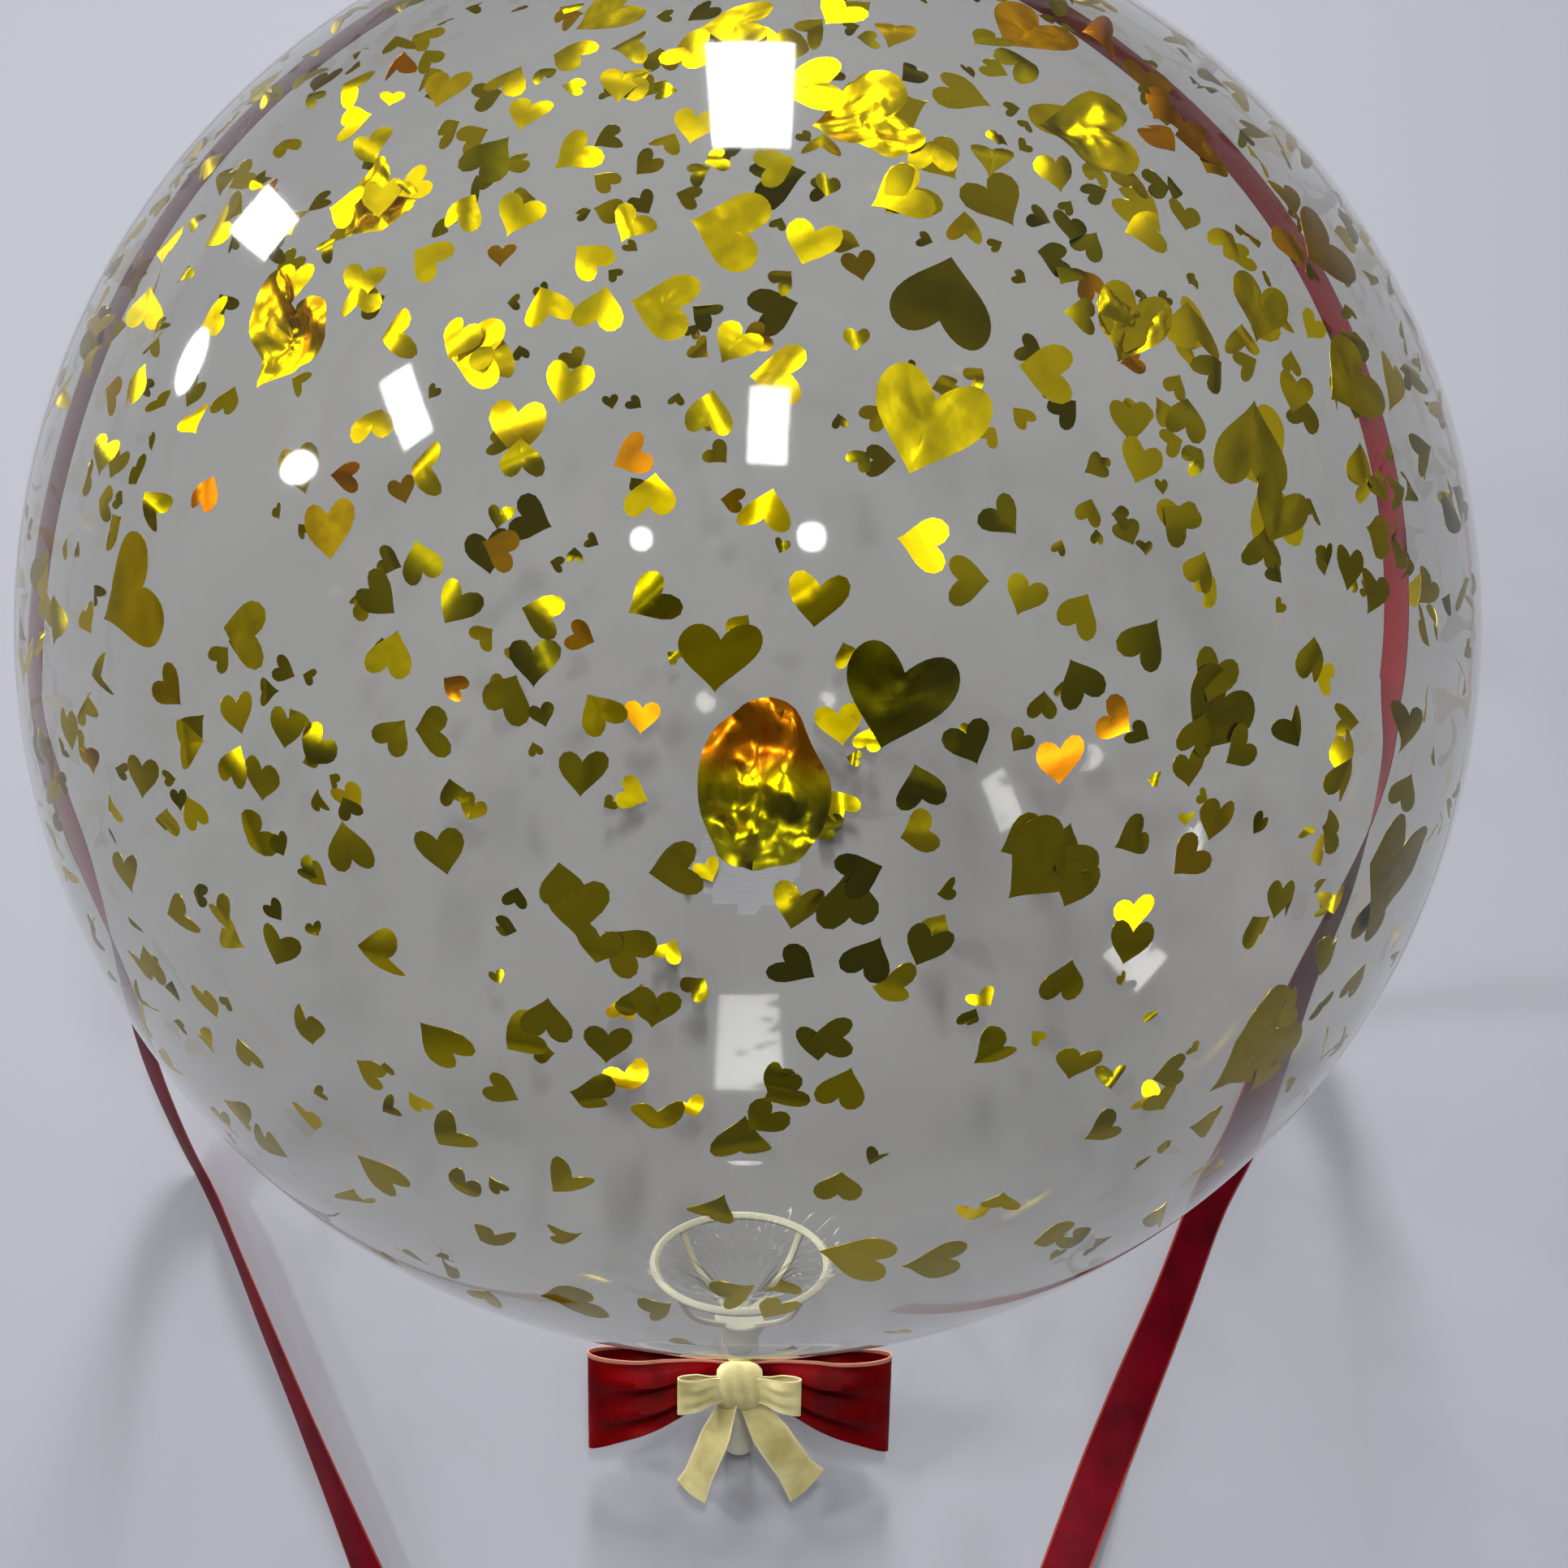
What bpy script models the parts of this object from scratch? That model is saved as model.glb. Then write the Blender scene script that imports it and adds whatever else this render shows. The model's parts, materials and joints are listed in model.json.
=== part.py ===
# Clear bubble balloon on its holder cup, with its bows and its draped ribbon, lying loose.
# Metres, +Z up, with the origin at the middle of the flat spot that the balloon rests on.
# The balloon's own axis runs from its neck up to its crown. The balloon, the cup and the
# bows are modelled upright about the balloon's centre, with their front towards -Y, and
# lean back about X until the tip of the cup's spigot meets the floor.

import math

import bmesh
import bpy
from mathutils import Matrix, Vector

# Balloon
BALLOON_RADIUS = 0.210
REST_SPOT_RADIUS = 0.020
NECK_CLEARANCE = 0.0007
NECK_SLOPE = math.radians(22.4)
NECK_TAIL_RADIUS = 0.005
NECK_TAIL_LENGTH = 0.017
PLEATS = 24
PLEAT_DEPTH = 0.0014
SEGMENTS_PER_PLEAT = 3
BALLOON_RINGS = 33

# Holder cup
CUP_RADIUS = 0.0283
CUP_RIM_THICKNESS = 0.0028
CUP_RIM_DROP = 0.003
CUP_DEPTH = 0.020
CUP_RIBS = 4
RIB_WIDTH = 0.0024
RIB_THICKNESS = 0.0018
HUB_RADIUS = 0.0085
HUB_HEIGHT = 0.0095
HUB_LIP = 0.003
SPIGOT_RADIUS = 0.005
SPIGOT_LENGTH = 0.044
ROUND_SIDES = 24

# Bows
BOW_HALF_LENGTH = 0.0500
BOW_DEPTH = 0.018
BOW_PINCH_WIDTH = 0.0135
BOW_RISE = 0.0030
BOW_DROOP = 0.0215
KNOT_SIZE = Vector((0.015, 0.008, 0.019))
KNOT_BEVEL = 0.0025
TIE_WALL = 0.0012
TIE_HEIGHT = 0.0032
TIE_BRIDGE_WIDTH = 0.008
SMALL_LOOP_HALF_LENGTH = 0.0200
SMALL_LOOP_DEPTH = 0.007
SMALL_LOOP_FORWARD = 0.006
SMALL_LOOP_PINCH_WIDTH = 0.008
SMALL_LOOP_SPREAD = 0.0030
TAIL_WIDTH = 0.0125
TAIL_ROOT_SIDE = 0.003
TAIL_ROOT_RISE = 0.004
TAIL_FORWARD = 0.005
TAIL_CURL = 0.0015
LEFT_TAIL_OUT = 0.0125
LEFT_TAIL_LENGTH = 0.034
LEFT_TAIL_FACE = Vector((0.75, -0.66, 0.10))
RIGHT_TAIL_OUT = 0.020
RIGHT_TAIL_LENGTH = 0.031
RIGHT_TAIL_FACE = Vector((0.88, 0.00, 0.47))
BOW_CLOTH = 0.0008
LOOP_STEPS = 40
LOOP_FULL_AT = 0.72
TAIL_STEPS = 4
TAIL_GATHER = 0.55
TAIL_OPENING = 1.2

# Draped ribbon
RIBBON_WIDTH = 0.016
RIBBON_CLOTH = 0.0006
RIBBON_LIFT = 0.0010
RIBBON_STEP_DEGREES = 5.0
FREE_STEPS = 3

CLEARANCE = 0.0004

# Where the ribbon lies on the balloon: how far round from the right-hand side over the
# crown to the left-hand side, and how far behind that side-to-side circle, in degrees.
RIBBON_ON_BALLOON = (
    (-9.0, 13.0), (5.0, 17.0), (25.0, 22.0), (55.0, 26.0), (90.0, 22.5),
    (130.0, 17.5), (160.0, 10.5), (175.0, 4.0), (185.0, -2.5),
)

# The ribbon's two free ends, from the balloon down and along the floor: a point of its
# middle line, as shares of the balloon's radius, and the way that its outer face looks
# there. A point at height 0 lies on the floor, and the ribbon's lower edge is lifted onto it.
RIBBON_RIGHT_END = (
    ((0.974, -0.019, 0.638), (1.00, -0.05, -0.10)),
    ((0.981, -0.057, 0.514), (1.00, -0.25, 0.00)),
    ((0.981, -0.095, 0.367), (0.90, -0.50, 0.05)),
    ((0.967, -0.148, 0.224), (0.70, -0.70, 0.20)),
    ((0.936, -0.224, 0.100), (0.40, -0.75, 0.50)),
    ((0.890, -0.343, 0.019), (0.10, -0.30, 0.95)),
    ((0.833, -0.476, 0.000), (0.00, 0.00, 1.00)),
    ((0.771, -0.590, 0.000), (0.00, 0.00, 1.00)),
    ((0.705, -0.748, 0.000), (-0.15, 0.00, 1.00)),
    ((0.629, -0.919, 0.000), (-0.50, -0.10, 0.85)),
    ((0.538, -1.133, 0.000), (-0.80, -0.20, 0.60)),
    ((0.457, -1.333, 0.000), (-0.55, -0.15, 0.85)),
    ((0.414, -1.476, 0.000), (-0.10, 0.00, 1.00)),
)
RIBBON_LEFT_END = (
    ((-1.005, -0.138, 0.871), (-1.00, -0.05, 0.00)),
    ((-0.995, -0.190, 0.748), (-1.00, -0.10, 0.00)),
    ((-0.986, -0.233, 0.614), (-1.00, -0.12, 0.05)),
    ((-0.976, -0.286, 0.471), (-1.00, -0.15, 0.05)),
    ((-0.967, -0.350, 0.329), (-1.00, -0.20, 0.05)),
    ((-0.950, -0.433, 0.186), (-1.00, -0.25, 0.10)),
    ((-0.914, -0.521, 0.076), (-0.95, -0.35, 0.10)),
    ((-0.857, -0.624, 0.000), (-0.92, -0.38, 0.10)),
    ((-0.781, -0.781, 0.000), (-0.90, -0.40, 0.10)),
    ((-0.686, -0.976, 0.000), (-0.90, -0.42, 0.20)),
    ((-0.586, -1.181, 0.000), (-0.80, -0.35, 0.45)),
    ((-0.514, -1.338, 0.000), (-0.45, -0.20, 0.85)),
    ((-0.457, -1.476, 0.000), (-0.05, 0.00, 1.00)),
)

# Heights below the balloon's centre, along its axis, and the neck that fits the cup
NECK_RADIUS = CUP_RADIUS - CUP_RIM_THICKNESS / 2 - NECK_CLEARANCE
CENTRE_HEIGHT = math.sqrt(BALLOON_RADIUS ** 2 - REST_SPOT_RADIUS ** 2)
CONE_TOP_RADIUS = BALLOON_RADIUS * math.sin(NECK_SLOPE)
CONE_TOP_DROP = BALLOON_RADIUS * math.cos(NECK_SLOPE)
NECK_DROP = CONE_TOP_DROP + (CONE_TOP_RADIUS - NECK_RADIUS) * math.tan(NECK_SLOPE)
RIM_DROP = NECK_DROP + CUP_RIM_DROP
HUB_TOP_DROP = RIM_DROP + CUP_DEPTH
HUB_BOTTOM_DROP = HUB_TOP_DROP + HUB_HEIGHT
SPIGOT_END_DROP = HUB_BOTTOM_DROP + SPIGOT_LENGTH
TIE_DROP = HUB_BOTTOM_DROP + CLEARANCE + TIE_HEIGHT / 2
PINCH_TOP_DROP = TIE_DROP + TIE_HEIGHT / 2 + CLEARANCE
KNOT_DROP = TIE_DROP - TIE_HEIGHT / 2 + KNOT_SIZE.z / 2

# Distances in front of the axis
BOW_PINCH_GAP = 0.001
BOW_PINCH_HALF_DEPTH = (BOW_PINCH_GAP + BOW_CLOTH) / 2
BOW_FRONT = SPIGOT_RADIUS + CLEARANCE + BOW_PINCH_HALF_DEPTH + BOW_CLOTH / 2
KNOT_FRONT = BOW_FRONT + BOW_PINCH_HALF_DEPTH + BOW_CLOTH / 2 + CLEARANCE + KNOT_SIZE.y / 2

# The lean that brings the rim of the spigot's tip down to the floor
TIP_REACH = math.hypot(SPIGOT_END_DROP, SPIGOT_RADIUS)
LEAN = math.acos(CENTRE_HEIGHT / TIP_REACH) + math.atan2(SPIGOT_RADIUS, SPIGOT_END_DROP)
LEANING = Matrix.Translation((0.0, 0.0, CENTRE_HEIGHT)) @ Matrix.Rotation(-LEAN, 4, "X")


def clear_scene():
    for old in list(bpy.data.objects):
        bpy.data.objects.remove(old, do_unlink=True)


def new_collection(name):
    collection = bpy.data.collections.new(name)
    bpy.context.scene.collection.children.link(collection)
    return collection


def material(name, colour, roughness, metallic=0.0, alpha=1.0):
    made = bpy.data.materials.new(name)
    made.use_nodes = True
    shader = made.node_tree.nodes["Principled BSDF"]
    shader.inputs["Base Color"].default_value = (*colour, 1.0)
    shader.inputs["Roughness"].default_value = roughness
    shader.inputs["Metallic"].default_value = metallic
    shader.inputs["Alpha"].default_value = alpha
    made.diffuse_color = (*colour, alpha)
    return made


def add_object(name, mesh, collection):
    made = bpy.data.objects.new(name, mesh)
    collection.objects.link(made)
    return made


def smooth(body, angle=math.radians(35.0)):
    body.data.shade_smooth()
    body.data.set_sharp_from_angle(angle=angle)


def turned(name, profile, segments, collection):
    """A solid turned about Z. The profile's (radius, height) points run down its outer side."""
    mesh = bpy.data.meshes.new(name)
    points = [(radius, 0.0, height) for radius, height in profile]
    mesh.from_pydata(points, [(i, i + 1) for i in range(len(points) - 1)], [])
    body = add_object(name, mesh, collection)
    screw = body.modifiers.new("Turn", "SCREW")
    screw.axis = "Z"
    screw.angle = math.tau
    screw.steps = segments
    screw.render_steps = segments
    screw.use_merge_vertices = True
    screw.merge_threshold = 0.00001
    return body


def apply_modifiers(body):
    """Replaces the object's mesh with its evaluated one."""
    evaluated = body.evaluated_get(bpy.context.evaluated_depsgraph_get())
    mesh = bpy.data.meshes.new_from_object(evaluated)
    body.modifiers.clear()
    body.data = mesh
    return body


def combine(body, other, operation, cutters):
    """Joins the other object to the body, or cuts it away, and keeps it with the cutters."""
    for collection in list(other.users_collection):
        collection.objects.unlink(other)
    cutters.objects.link(other)
    other.hide_render = True
    other.display_type = "WIRE"
    step = body.modifiers.new(other.name, "BOOLEAN")
    step.operation = operation
    step.object = other


def box(name, size, centre, collection):
    mesh = bpy.data.meshes.new(name)
    shape = bmesh.new()
    bmesh.ops.create_cube(shape, size=1.0, matrix=Matrix.Diagonal((*size, 1.0)))
    shape.to_mesh(mesh)
    shape.free()
    body = add_object(name, mesh, collection)
    body.location = centre
    return body


def strip(name, rows, thickness, collection, closed=False):
    """A ribbon of cloth. Each row is the pair of points on its two edges."""
    mesh = bpy.data.meshes.new(name)
    points = [point for row in rows for point in row]
    spans = len(rows) if closed else len(rows) - 1
    faces = []
    for i in range(spans):
        j = (i + 1) % len(rows)
        faces.append((2 * i, 2 * i + 1, 2 * j + 1, 2 * j))
    mesh.from_pydata(points, [], faces)
    body = add_object(name, mesh, collection)
    wall = body.modifiers.new("Cloth", "SOLIDIFY")
    wall.thickness = thickness
    wall.offset = 0.0
    return body


def through(points, steps):
    """A smooth Catmull-Rom run through the points, with the given steps in each span."""
    first = points[0] * 2 - points[1]
    last = points[-1] * 2 - points[-2]
    padded = [first, *points, last]
    run = []
    for a, b, c, d in zip(padded, padded[1:], padded[2:], padded[3:]):
        for step in range(steps):
            t = step / steps
            curve = b * 2 + (c - a) * t + (a * 2 - b * 5 + c * 4 - d) * t ** 2
            run.append((curve + (b * 3 - a - c * 3 + d) * t ** 3) / 2)
    run.append(points[-1])
    return run


def balloon(collection, cutters):
    """A sphere that runs on tangent into a pleated cone, gathered into the cup."""
    sweep = math.pi - NECK_SLOPE
    profile = []
    for ring in range(BALLOON_RINGS + 1):
        angle = sweep * ring / BALLOON_RINGS
        profile.append((BALLOON_RADIUS * math.sin(angle), BALLOON_RADIUS * math.cos(angle)))
    profile[0] = (0.0, BALLOON_RADIUS)
    middle_radius = (CONE_TOP_RADIUS + NECK_RADIUS) / 2
    profile.append((middle_radius, -(CONE_TOP_DROP + NECK_DROP) / 2))
    profile.append((NECK_RADIUS, -NECK_DROP))
    profile.append((NECK_TAIL_RADIUS, -NECK_DROP - NECK_TAIL_LENGTH))
    profile.append((0.0, -NECK_DROP - NECK_TAIL_LENGTH))
    body = turned("bubble_balloon", profile, PLEATS * SEGMENTS_PER_PLEAT, collection)
    apply_modifiers(body)
    pleat_neck(body.data)
    reach = BALLOON_RADIUS * 2
    below = box("floor_cutter", (reach, reach, reach), (0.0, 0.0, -reach / 2), cutters)
    body.matrix_world = LEANING
    combine(body, below, "DIFFERENCE", cutters)
    return body


def pleat_neck(mesh):
    """Gathers the cone into pleats that deepen towards the neck."""
    for vertex in mesh.vertices:
        radius = math.hypot(vertex.co.x, vertex.co.y)
        drop = -vertex.co.z
        if drop <= CONE_TOP_DROP or radius <= NECK_TAIL_RADIUS * 1.5:
            continue
        gather = min(1.0, (drop - CONE_TOP_DROP) / (NECK_DROP - CONE_TOP_DROP))
        turn = math.atan2(vertex.co.y, vertex.co.x)
        scale = 1.0 + gather * PLEAT_DEPTH * math.cos(PLEATS * turn) / radius
        vertex.co.x *= scale
        vertex.co.y *= scale


def holder_cup(collection, cutters):
    """A round rim on ribs that run down to a hub, with a spigot for a stick below it."""
    profile = (
        (0.0, -HUB_TOP_DROP), (HUB_RADIUS, -HUB_TOP_DROP),
        (HUB_RADIUS, -HUB_TOP_DROP - HUB_LIP), (SPIGOT_RADIUS, -HUB_BOTTOM_DROP),
        (SPIGOT_RADIUS, -SPIGOT_END_DROP), (0.0, -SPIGOT_END_DROP),
    )
    body = turned("holder_cup", profile, ROUND_SIDES, collection)
    body.matrix_world = LEANING
    rise = CUP_DEPTH + HUB_LIP / 2
    run = CUP_RADIUS - HUB_RADIUS * 0.7
    length = math.hypot(rise, run)
    for number in range(CUP_RIBS):
        rib = box(f"cup_rib_{number + 1}", (length, RIB_WIDTH, RIB_THICKNESS), (0, 0, 0), cutters)
        turn = Matrix.Rotation(math.tau * (number + 0.5) / CUP_RIBS, 4, "Z")
        tilt = Matrix.Rotation(-math.atan2(rise, run), 4, "Y")
        middle = Vector((CUP_RADIUS - run / 2, 0.0, -RIM_DROP - rise / 2))
        rib.matrix_world = LEANING @ turn @ Matrix.Translation(middle) @ tilt
        combine(body, rib, "UNION", cutters)
    bpy.ops.mesh.primitive_torus_add(
        major_radius=CUP_RADIUS, minor_radius=CUP_RIM_THICKNESS / 2,
        major_segments=ROUND_SIDES * 2, minor_segments=8)
    rim = bpy.context.object
    rim.name = "cup_rim"
    rim.matrix_world = LEANING @ Matrix.Translation((0.0, 0.0, -RIM_DROP))
    combine(body, rim, "UNION", cutters)
    return body


def bow_loops(name, half_length, depth, front, forward, pinch, spread, collection):
    """Both loops of a bow as one band, pinched in the middle. Its edges are heights there."""
    pinch_top, pinch_bottom = pinch
    rise, droop = spread
    pinch_share = BOW_PINCH_HALF_DEPTH / (depth / 2)
    held = (KNOT_SIZE.x / 2 + CLEARANCE) / half_length
    rows = []
    for step in range(LOOP_STEPS):
        turn = math.tau * (step + 0.5) / LOOP_STEPS
        out = abs(math.cos(turn))
        flare = out ** 1.3
        freed = min(1.0, max(0.0, (out - held) / (LOOP_FULL_AT - held)))
        puff = pinch_share + (1.0 - pinch_share) * math.sin(freed * math.pi / 2) ** 2
        x = half_length * math.cos(turn)
        y = -front - forward * out - depth / 2 * math.sin(turn) * puff
        top = Vector((x, y, pinch_top + rise * flare))
        bottom = Vector((x, y, pinch_bottom - droop * flare))
        rows.append((top, bottom))
    return strip(name, rows, BOW_CLOTH, collection, closed=True)


def red_bow(collection):
    pinch = (-PINCH_TOP_DROP, -PINCH_TOP_DROP - BOW_PINCH_WIDTH)
    body = bow_loops("red_bow", BOW_HALF_LENGTH, BOW_DEPTH, BOW_FRONT, 0.0, pinch,
                     (BOW_RISE, BOW_DROOP), collection)
    body.matrix_world = LEANING
    return body


def tail(name, side, out, length, width_way, collection):
    """A cut ribbon end that hangs from the knot, on the left with side -1 or the right with 1."""
    root = Vector((side * TAIL_ROOT_SIDE, -KNOT_FRONT, TAIL_ROOT_RISE - KNOT_DROP - KNOT_SIZE.z / 2))
    tip = root + Vector((side * out, -TAIL_FORWARD, -length))
    middle = (root + tip) / 2 - Vector((0.0, TAIL_CURL, 0.0))
    rows = []
    for point in through([root, middle, tip], TAIL_STEPS):
        share = (point - root).length / (tip - root).length
        half = width_way.normalized() * TAIL_WIDTH / 2 * min(1.0, TAIL_GATHER + TAIL_OPENING * share)
        rows.append((point - half, point + half))
    return strip(name, rows, BOW_CLOTH, collection)


def gold_bow(collection, cutters):
    """The small gold bow, whose tie goes round the spigot and holds the red bow."""
    body = box("gold_bow", KNOT_SIZE, (0.0, 0.0, 0.0), collection)
    body.matrix_world = LEANING @ Matrix.Translation((0.0, -KNOT_FRONT, -KNOT_DROP))
    rounding = body.modifiers.new("Rounding", "BEVEL")
    rounding.width = KNOT_BEVEL
    rounding.segments = 2

    half_pinch = SMALL_LOOP_PINCH_WIDTH / 2
    pinch = (half_pinch - KNOT_DROP, -half_pinch - KNOT_DROP)
    loops = bow_loops("gold_loops", SMALL_LOOP_HALF_LENGTH, SMALL_LOOP_DEPTH, KNOT_FRONT,
                      SMALL_LOOP_FORWARD, pinch, (SMALL_LOOP_SPREAD, SMALL_LOOP_SPREAD), cutters)
    tails = (
        tail("gold_tail_left", -1, LEFT_TAIL_OUT, LEFT_TAIL_LENGTH, LEFT_TAIL_FACE, cutters),
        tail("gold_tail_right", 1, RIGHT_TAIL_OUT, RIGHT_TAIL_LENGTH, RIGHT_TAIL_FACE, cutters),
    )
    inner = SPIGOT_RADIUS + CLEARANCE
    outer = inner + TIE_WALL
    half = TIE_HEIGHT / 2
    profile = ((outer, half), (outer, -half), (inner, -half), (inner, half), (outer, half))
    tie = turned("gold_tie", profile, ROUND_SIDES, cutters)
    bridge_length = KNOT_FRONT - inner - TIE_WALL / 2
    bridge = box("gold_bridge", (TIE_BRIDGE_WIDTH, bridge_length, TIE_HEIGHT * 0.9), (0, 0, 0), cutters)
    tie_place = Matrix.Translation((0.0, 0.0, -TIE_DROP))
    bridge_place = Matrix.Translation((0.0, -KNOT_FRONT + bridge_length / 2, -TIE_DROP))
    for piece, place in ((loops, Matrix.Identity(4)), (tails[0], Matrix.Identity(4)),
                         (tails[1], Matrix.Identity(4)), (tie, tie_place),
                         (bridge, bridge_place)):
        piece.matrix_world = LEANING @ place
        combine(body, piece, "UNION", cutters)
    return body


def on_balloon(angles):
    """The point and the outward normal at a place of the ribbon's route over the balloon."""
    around, behind = (math.radians(angle) for angle in angles)
    out = Vector((math.cos(around) * math.cos(behind), math.sin(behind),
                  math.sin(around) * math.cos(behind)))
    point = LEANING @ (out * (BALLOON_RADIUS + RIBBON_LIFT))
    return point, LEANING.to_3x3() @ out


def ribbon_route():
    """The ribbon's middle line with its outer face, from its right end to its left end."""
    angles = [Vector(pair) for pair in RIBBON_ON_BALLOON]
    span = max(b.x - a.x for a, b in zip(angles, angles[1:]))
    steps = math.ceil(span / RIBBON_STEP_DEGREES)
    draped = [on_balloon(pair) for pair in through(angles, steps)]
    right = [(Vector(p) * BALLOON_RADIUS, Vector(n)) for p, n in reversed(RIBBON_RIGHT_END)]
    left = [(Vector(p) * BALLOON_RADIUS, Vector(n)) for p, n in RIBBON_LEFT_END]
    right_run = free_run([*right, draped[0]])
    left_run = free_run([draped[-1], *left])
    return right_run[:-1] + draped + left_run[1:]


def free_run(places):
    points = through([point for point, _ in places], FREE_STEPS)
    faces = through([face for _, face in places], FREE_STEPS)
    return list(zip(points, faces))


def red_ribbon(collection):
    route = ribbon_route()
    rows = []
    for i, (point, face) in enumerate(route):
        before = route[max(i - 1, 0)][0]
        after = route[min(i + 1, len(route) - 1)][0]
        across = (after - before).cross(face).normalized() * RIBBON_WIDTH / 2
        lift = max(0.0, abs(across.z) + RIBBON_CLOTH - point.z)
        middle = point + Vector((0.0, 0.0, lift))
        rows.append((middle - across, middle + across))
    return strip("red_ribbon", rows, RIBBON_CLOTH, collection)


def build():
    clear_scene()
    parts = new_collection("bubble_balloon_parts")
    cutters = new_collection("cutters")
    film = material("clear_film", (0.86, 0.87, 0.88), 0.04, alpha=0.25)
    plastic = material("white_plastic", (0.90, 0.90, 0.84), 0.30)
    red = material("red_satin", (0.42, 0.01, 0.03), 0.35)
    gold = material("gold_satin", (0.72, 0.62, 0.30), 0.32, metallic=0.3)
    made = (
        (balloon(parts, cutters), film), (holder_cup(parts, cutters), plastic),
        (red_bow(parts), red), (gold_bow(parts, cutters), gold), (red_ribbon(parts), red),
    )
    for body, look in made:
        body.data.materials.clear()
        body.data.materials.append(look)
        smooth(body)


build()
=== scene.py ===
import json
import random
from math import atan, atan2, copysign, cos, hypot, pi, radians, sin, sqrt, tau

import bmesh
import bpy
from mathutils import Matrix, Vector, noise


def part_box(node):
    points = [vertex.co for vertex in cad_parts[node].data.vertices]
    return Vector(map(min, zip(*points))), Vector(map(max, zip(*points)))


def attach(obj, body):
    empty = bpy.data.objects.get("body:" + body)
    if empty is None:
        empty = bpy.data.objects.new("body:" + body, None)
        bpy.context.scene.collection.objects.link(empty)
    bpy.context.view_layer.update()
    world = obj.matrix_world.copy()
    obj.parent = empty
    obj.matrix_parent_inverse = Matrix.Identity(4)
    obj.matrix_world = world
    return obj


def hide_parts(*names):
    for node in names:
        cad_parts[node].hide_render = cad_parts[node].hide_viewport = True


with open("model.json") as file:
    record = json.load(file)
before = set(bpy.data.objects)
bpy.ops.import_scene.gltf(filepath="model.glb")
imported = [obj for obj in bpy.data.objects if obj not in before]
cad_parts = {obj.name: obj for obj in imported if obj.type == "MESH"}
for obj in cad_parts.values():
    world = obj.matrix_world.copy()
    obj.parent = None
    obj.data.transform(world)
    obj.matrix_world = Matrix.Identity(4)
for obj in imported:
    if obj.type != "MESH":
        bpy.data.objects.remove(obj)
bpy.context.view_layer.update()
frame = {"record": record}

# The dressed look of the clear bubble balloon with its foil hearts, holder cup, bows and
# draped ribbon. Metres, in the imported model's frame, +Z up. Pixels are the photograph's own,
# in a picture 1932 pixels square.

# Camera
PHOTO_SIDE = 1932.0
FOCAL_PIXELS = 3501.0
SENSOR = 36.0
CAMERA_ABOVE_WAIST = radians(20.7)
CAMERA_DISTANCE_RADII = 4.0
BALLOON_CENTRE_PIXEL = Vector((924.0, 780.0))
CAMERA_ROLL = radians(-0.8)

# The balloon and what hangs on its axis, as in the part's source
BALLOON_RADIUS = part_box("bubble_balloon")[1].x
SPIGOT_END_DROP = 0.29284
NECK_DROP = 0.21634
THROAT_START = radians(11.0)
NECK_RADIUS = 0.0262
NECK_TAIL_RADIUS = 0.005
NECK_TAIL_LENGTH = 0.017
PLEATS = 24

CROWN = -Vector(next(m for m in frame["record"]["mounts"] if m["name"] == "spigot_end")["axis"])
TIP = Vector(next(m for m in frame["record"]["mounts"] if m["name"] == "spigot_end")["pos_m"])
CENTRE = TIP + CROWN * SPIGOT_END_DROP
RIGHT = Vector((1.0, 0.0, 0.0))
BACK = CROWN.cross(RIGHT)
LEANING = Matrix.Translation(CENTRE) @ Matrix((RIGHT, BACK, CROWN)).transposed().to_4x4()


# Camera and pixels

def camera_axes():
    """Where the camera stands, and its right, up and forward axes."""
    elevation = atan2(CROWN.y, CROWN.z) + CAMERA_ABOVE_WAIST
    towards = Vector((0.0, -cos(elevation), sin(elevation)))
    place = CENTRE + towards * BALLOON_RADIUS * CAMERA_DISTANCE_RADII
    middle = PHOTO_SIDE / 2
    pitch = atan((middle - BALLOON_CENTRE_PIXEL.y) / FOCAL_PIXELS)
    yaw = atan((middle - BALLOON_CENTRE_PIXEL.x) / FOCAL_PIXELS)
    forward, up = -towards, RIGHT.cross(-towards)
    down = Matrix.Rotation(-pitch, 3, RIGHT)
    forward, up = down @ forward, down @ up
    turn = Matrix.Rotation(-yaw, 3, up)
    roll = Matrix.Rotation(CAMERA_ROLL, 3, -towards)
    return place, roll @ turn @ RIGHT, roll @ up, roll @ turn @ forward


EYE, EYE_RIGHT, EYE_UP, EYE_FORWARD = camera_axes()


def add_camera():
    data = bpy.data.cameras.new("camera")
    data.sensor_width = SENSOR
    data.lens = SENSOR * FOCAL_PIXELS / PHOTO_SIDE
    data.clip_start = 0.01
    made = link("camera", data)
    axes = Matrix((EYE_RIGHT, EYE_UP, -EYE_FORWARD)).transposed().to_4x4()
    made.matrix_world = Matrix.Translation(EYE) @ axes
    bpy.context.scene.camera = made


def pixel_ray(x, y):
    right = (x - PHOTO_SIDE / 2) / FOCAL_PIXELS
    up = (PHOTO_SIDE / 2 - y) / FOCAL_PIXELS
    return (EYE_FORWARD + EYE_RIGHT * right + EYE_UP * up).normalized()


def on_film(x, y, wall):
    """Where the ray of a pixel meets the balloon's near or far wall, or its rim if it misses."""
    ray = pixel_ray(x, y)
    along = (CENTRE - EYE).dot(ray)
    gap = along ** 2 - (CENTRE - EYE).length_squared + BALLOON_RADIUS ** 2
    reach = sqrt(max(gap, 0.0))
    point = EYE + ray * (along - reach if wall == "near" else along + reach)
    return CENTRE + (point - CENTRE).normalized() * BALLOON_RADIUS


# Mesh helpers

def link(name, data):
    made = bpy.data.objects.new(name, data)
    bpy.context.scene.collection.objects.link(made)
    return made


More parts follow.
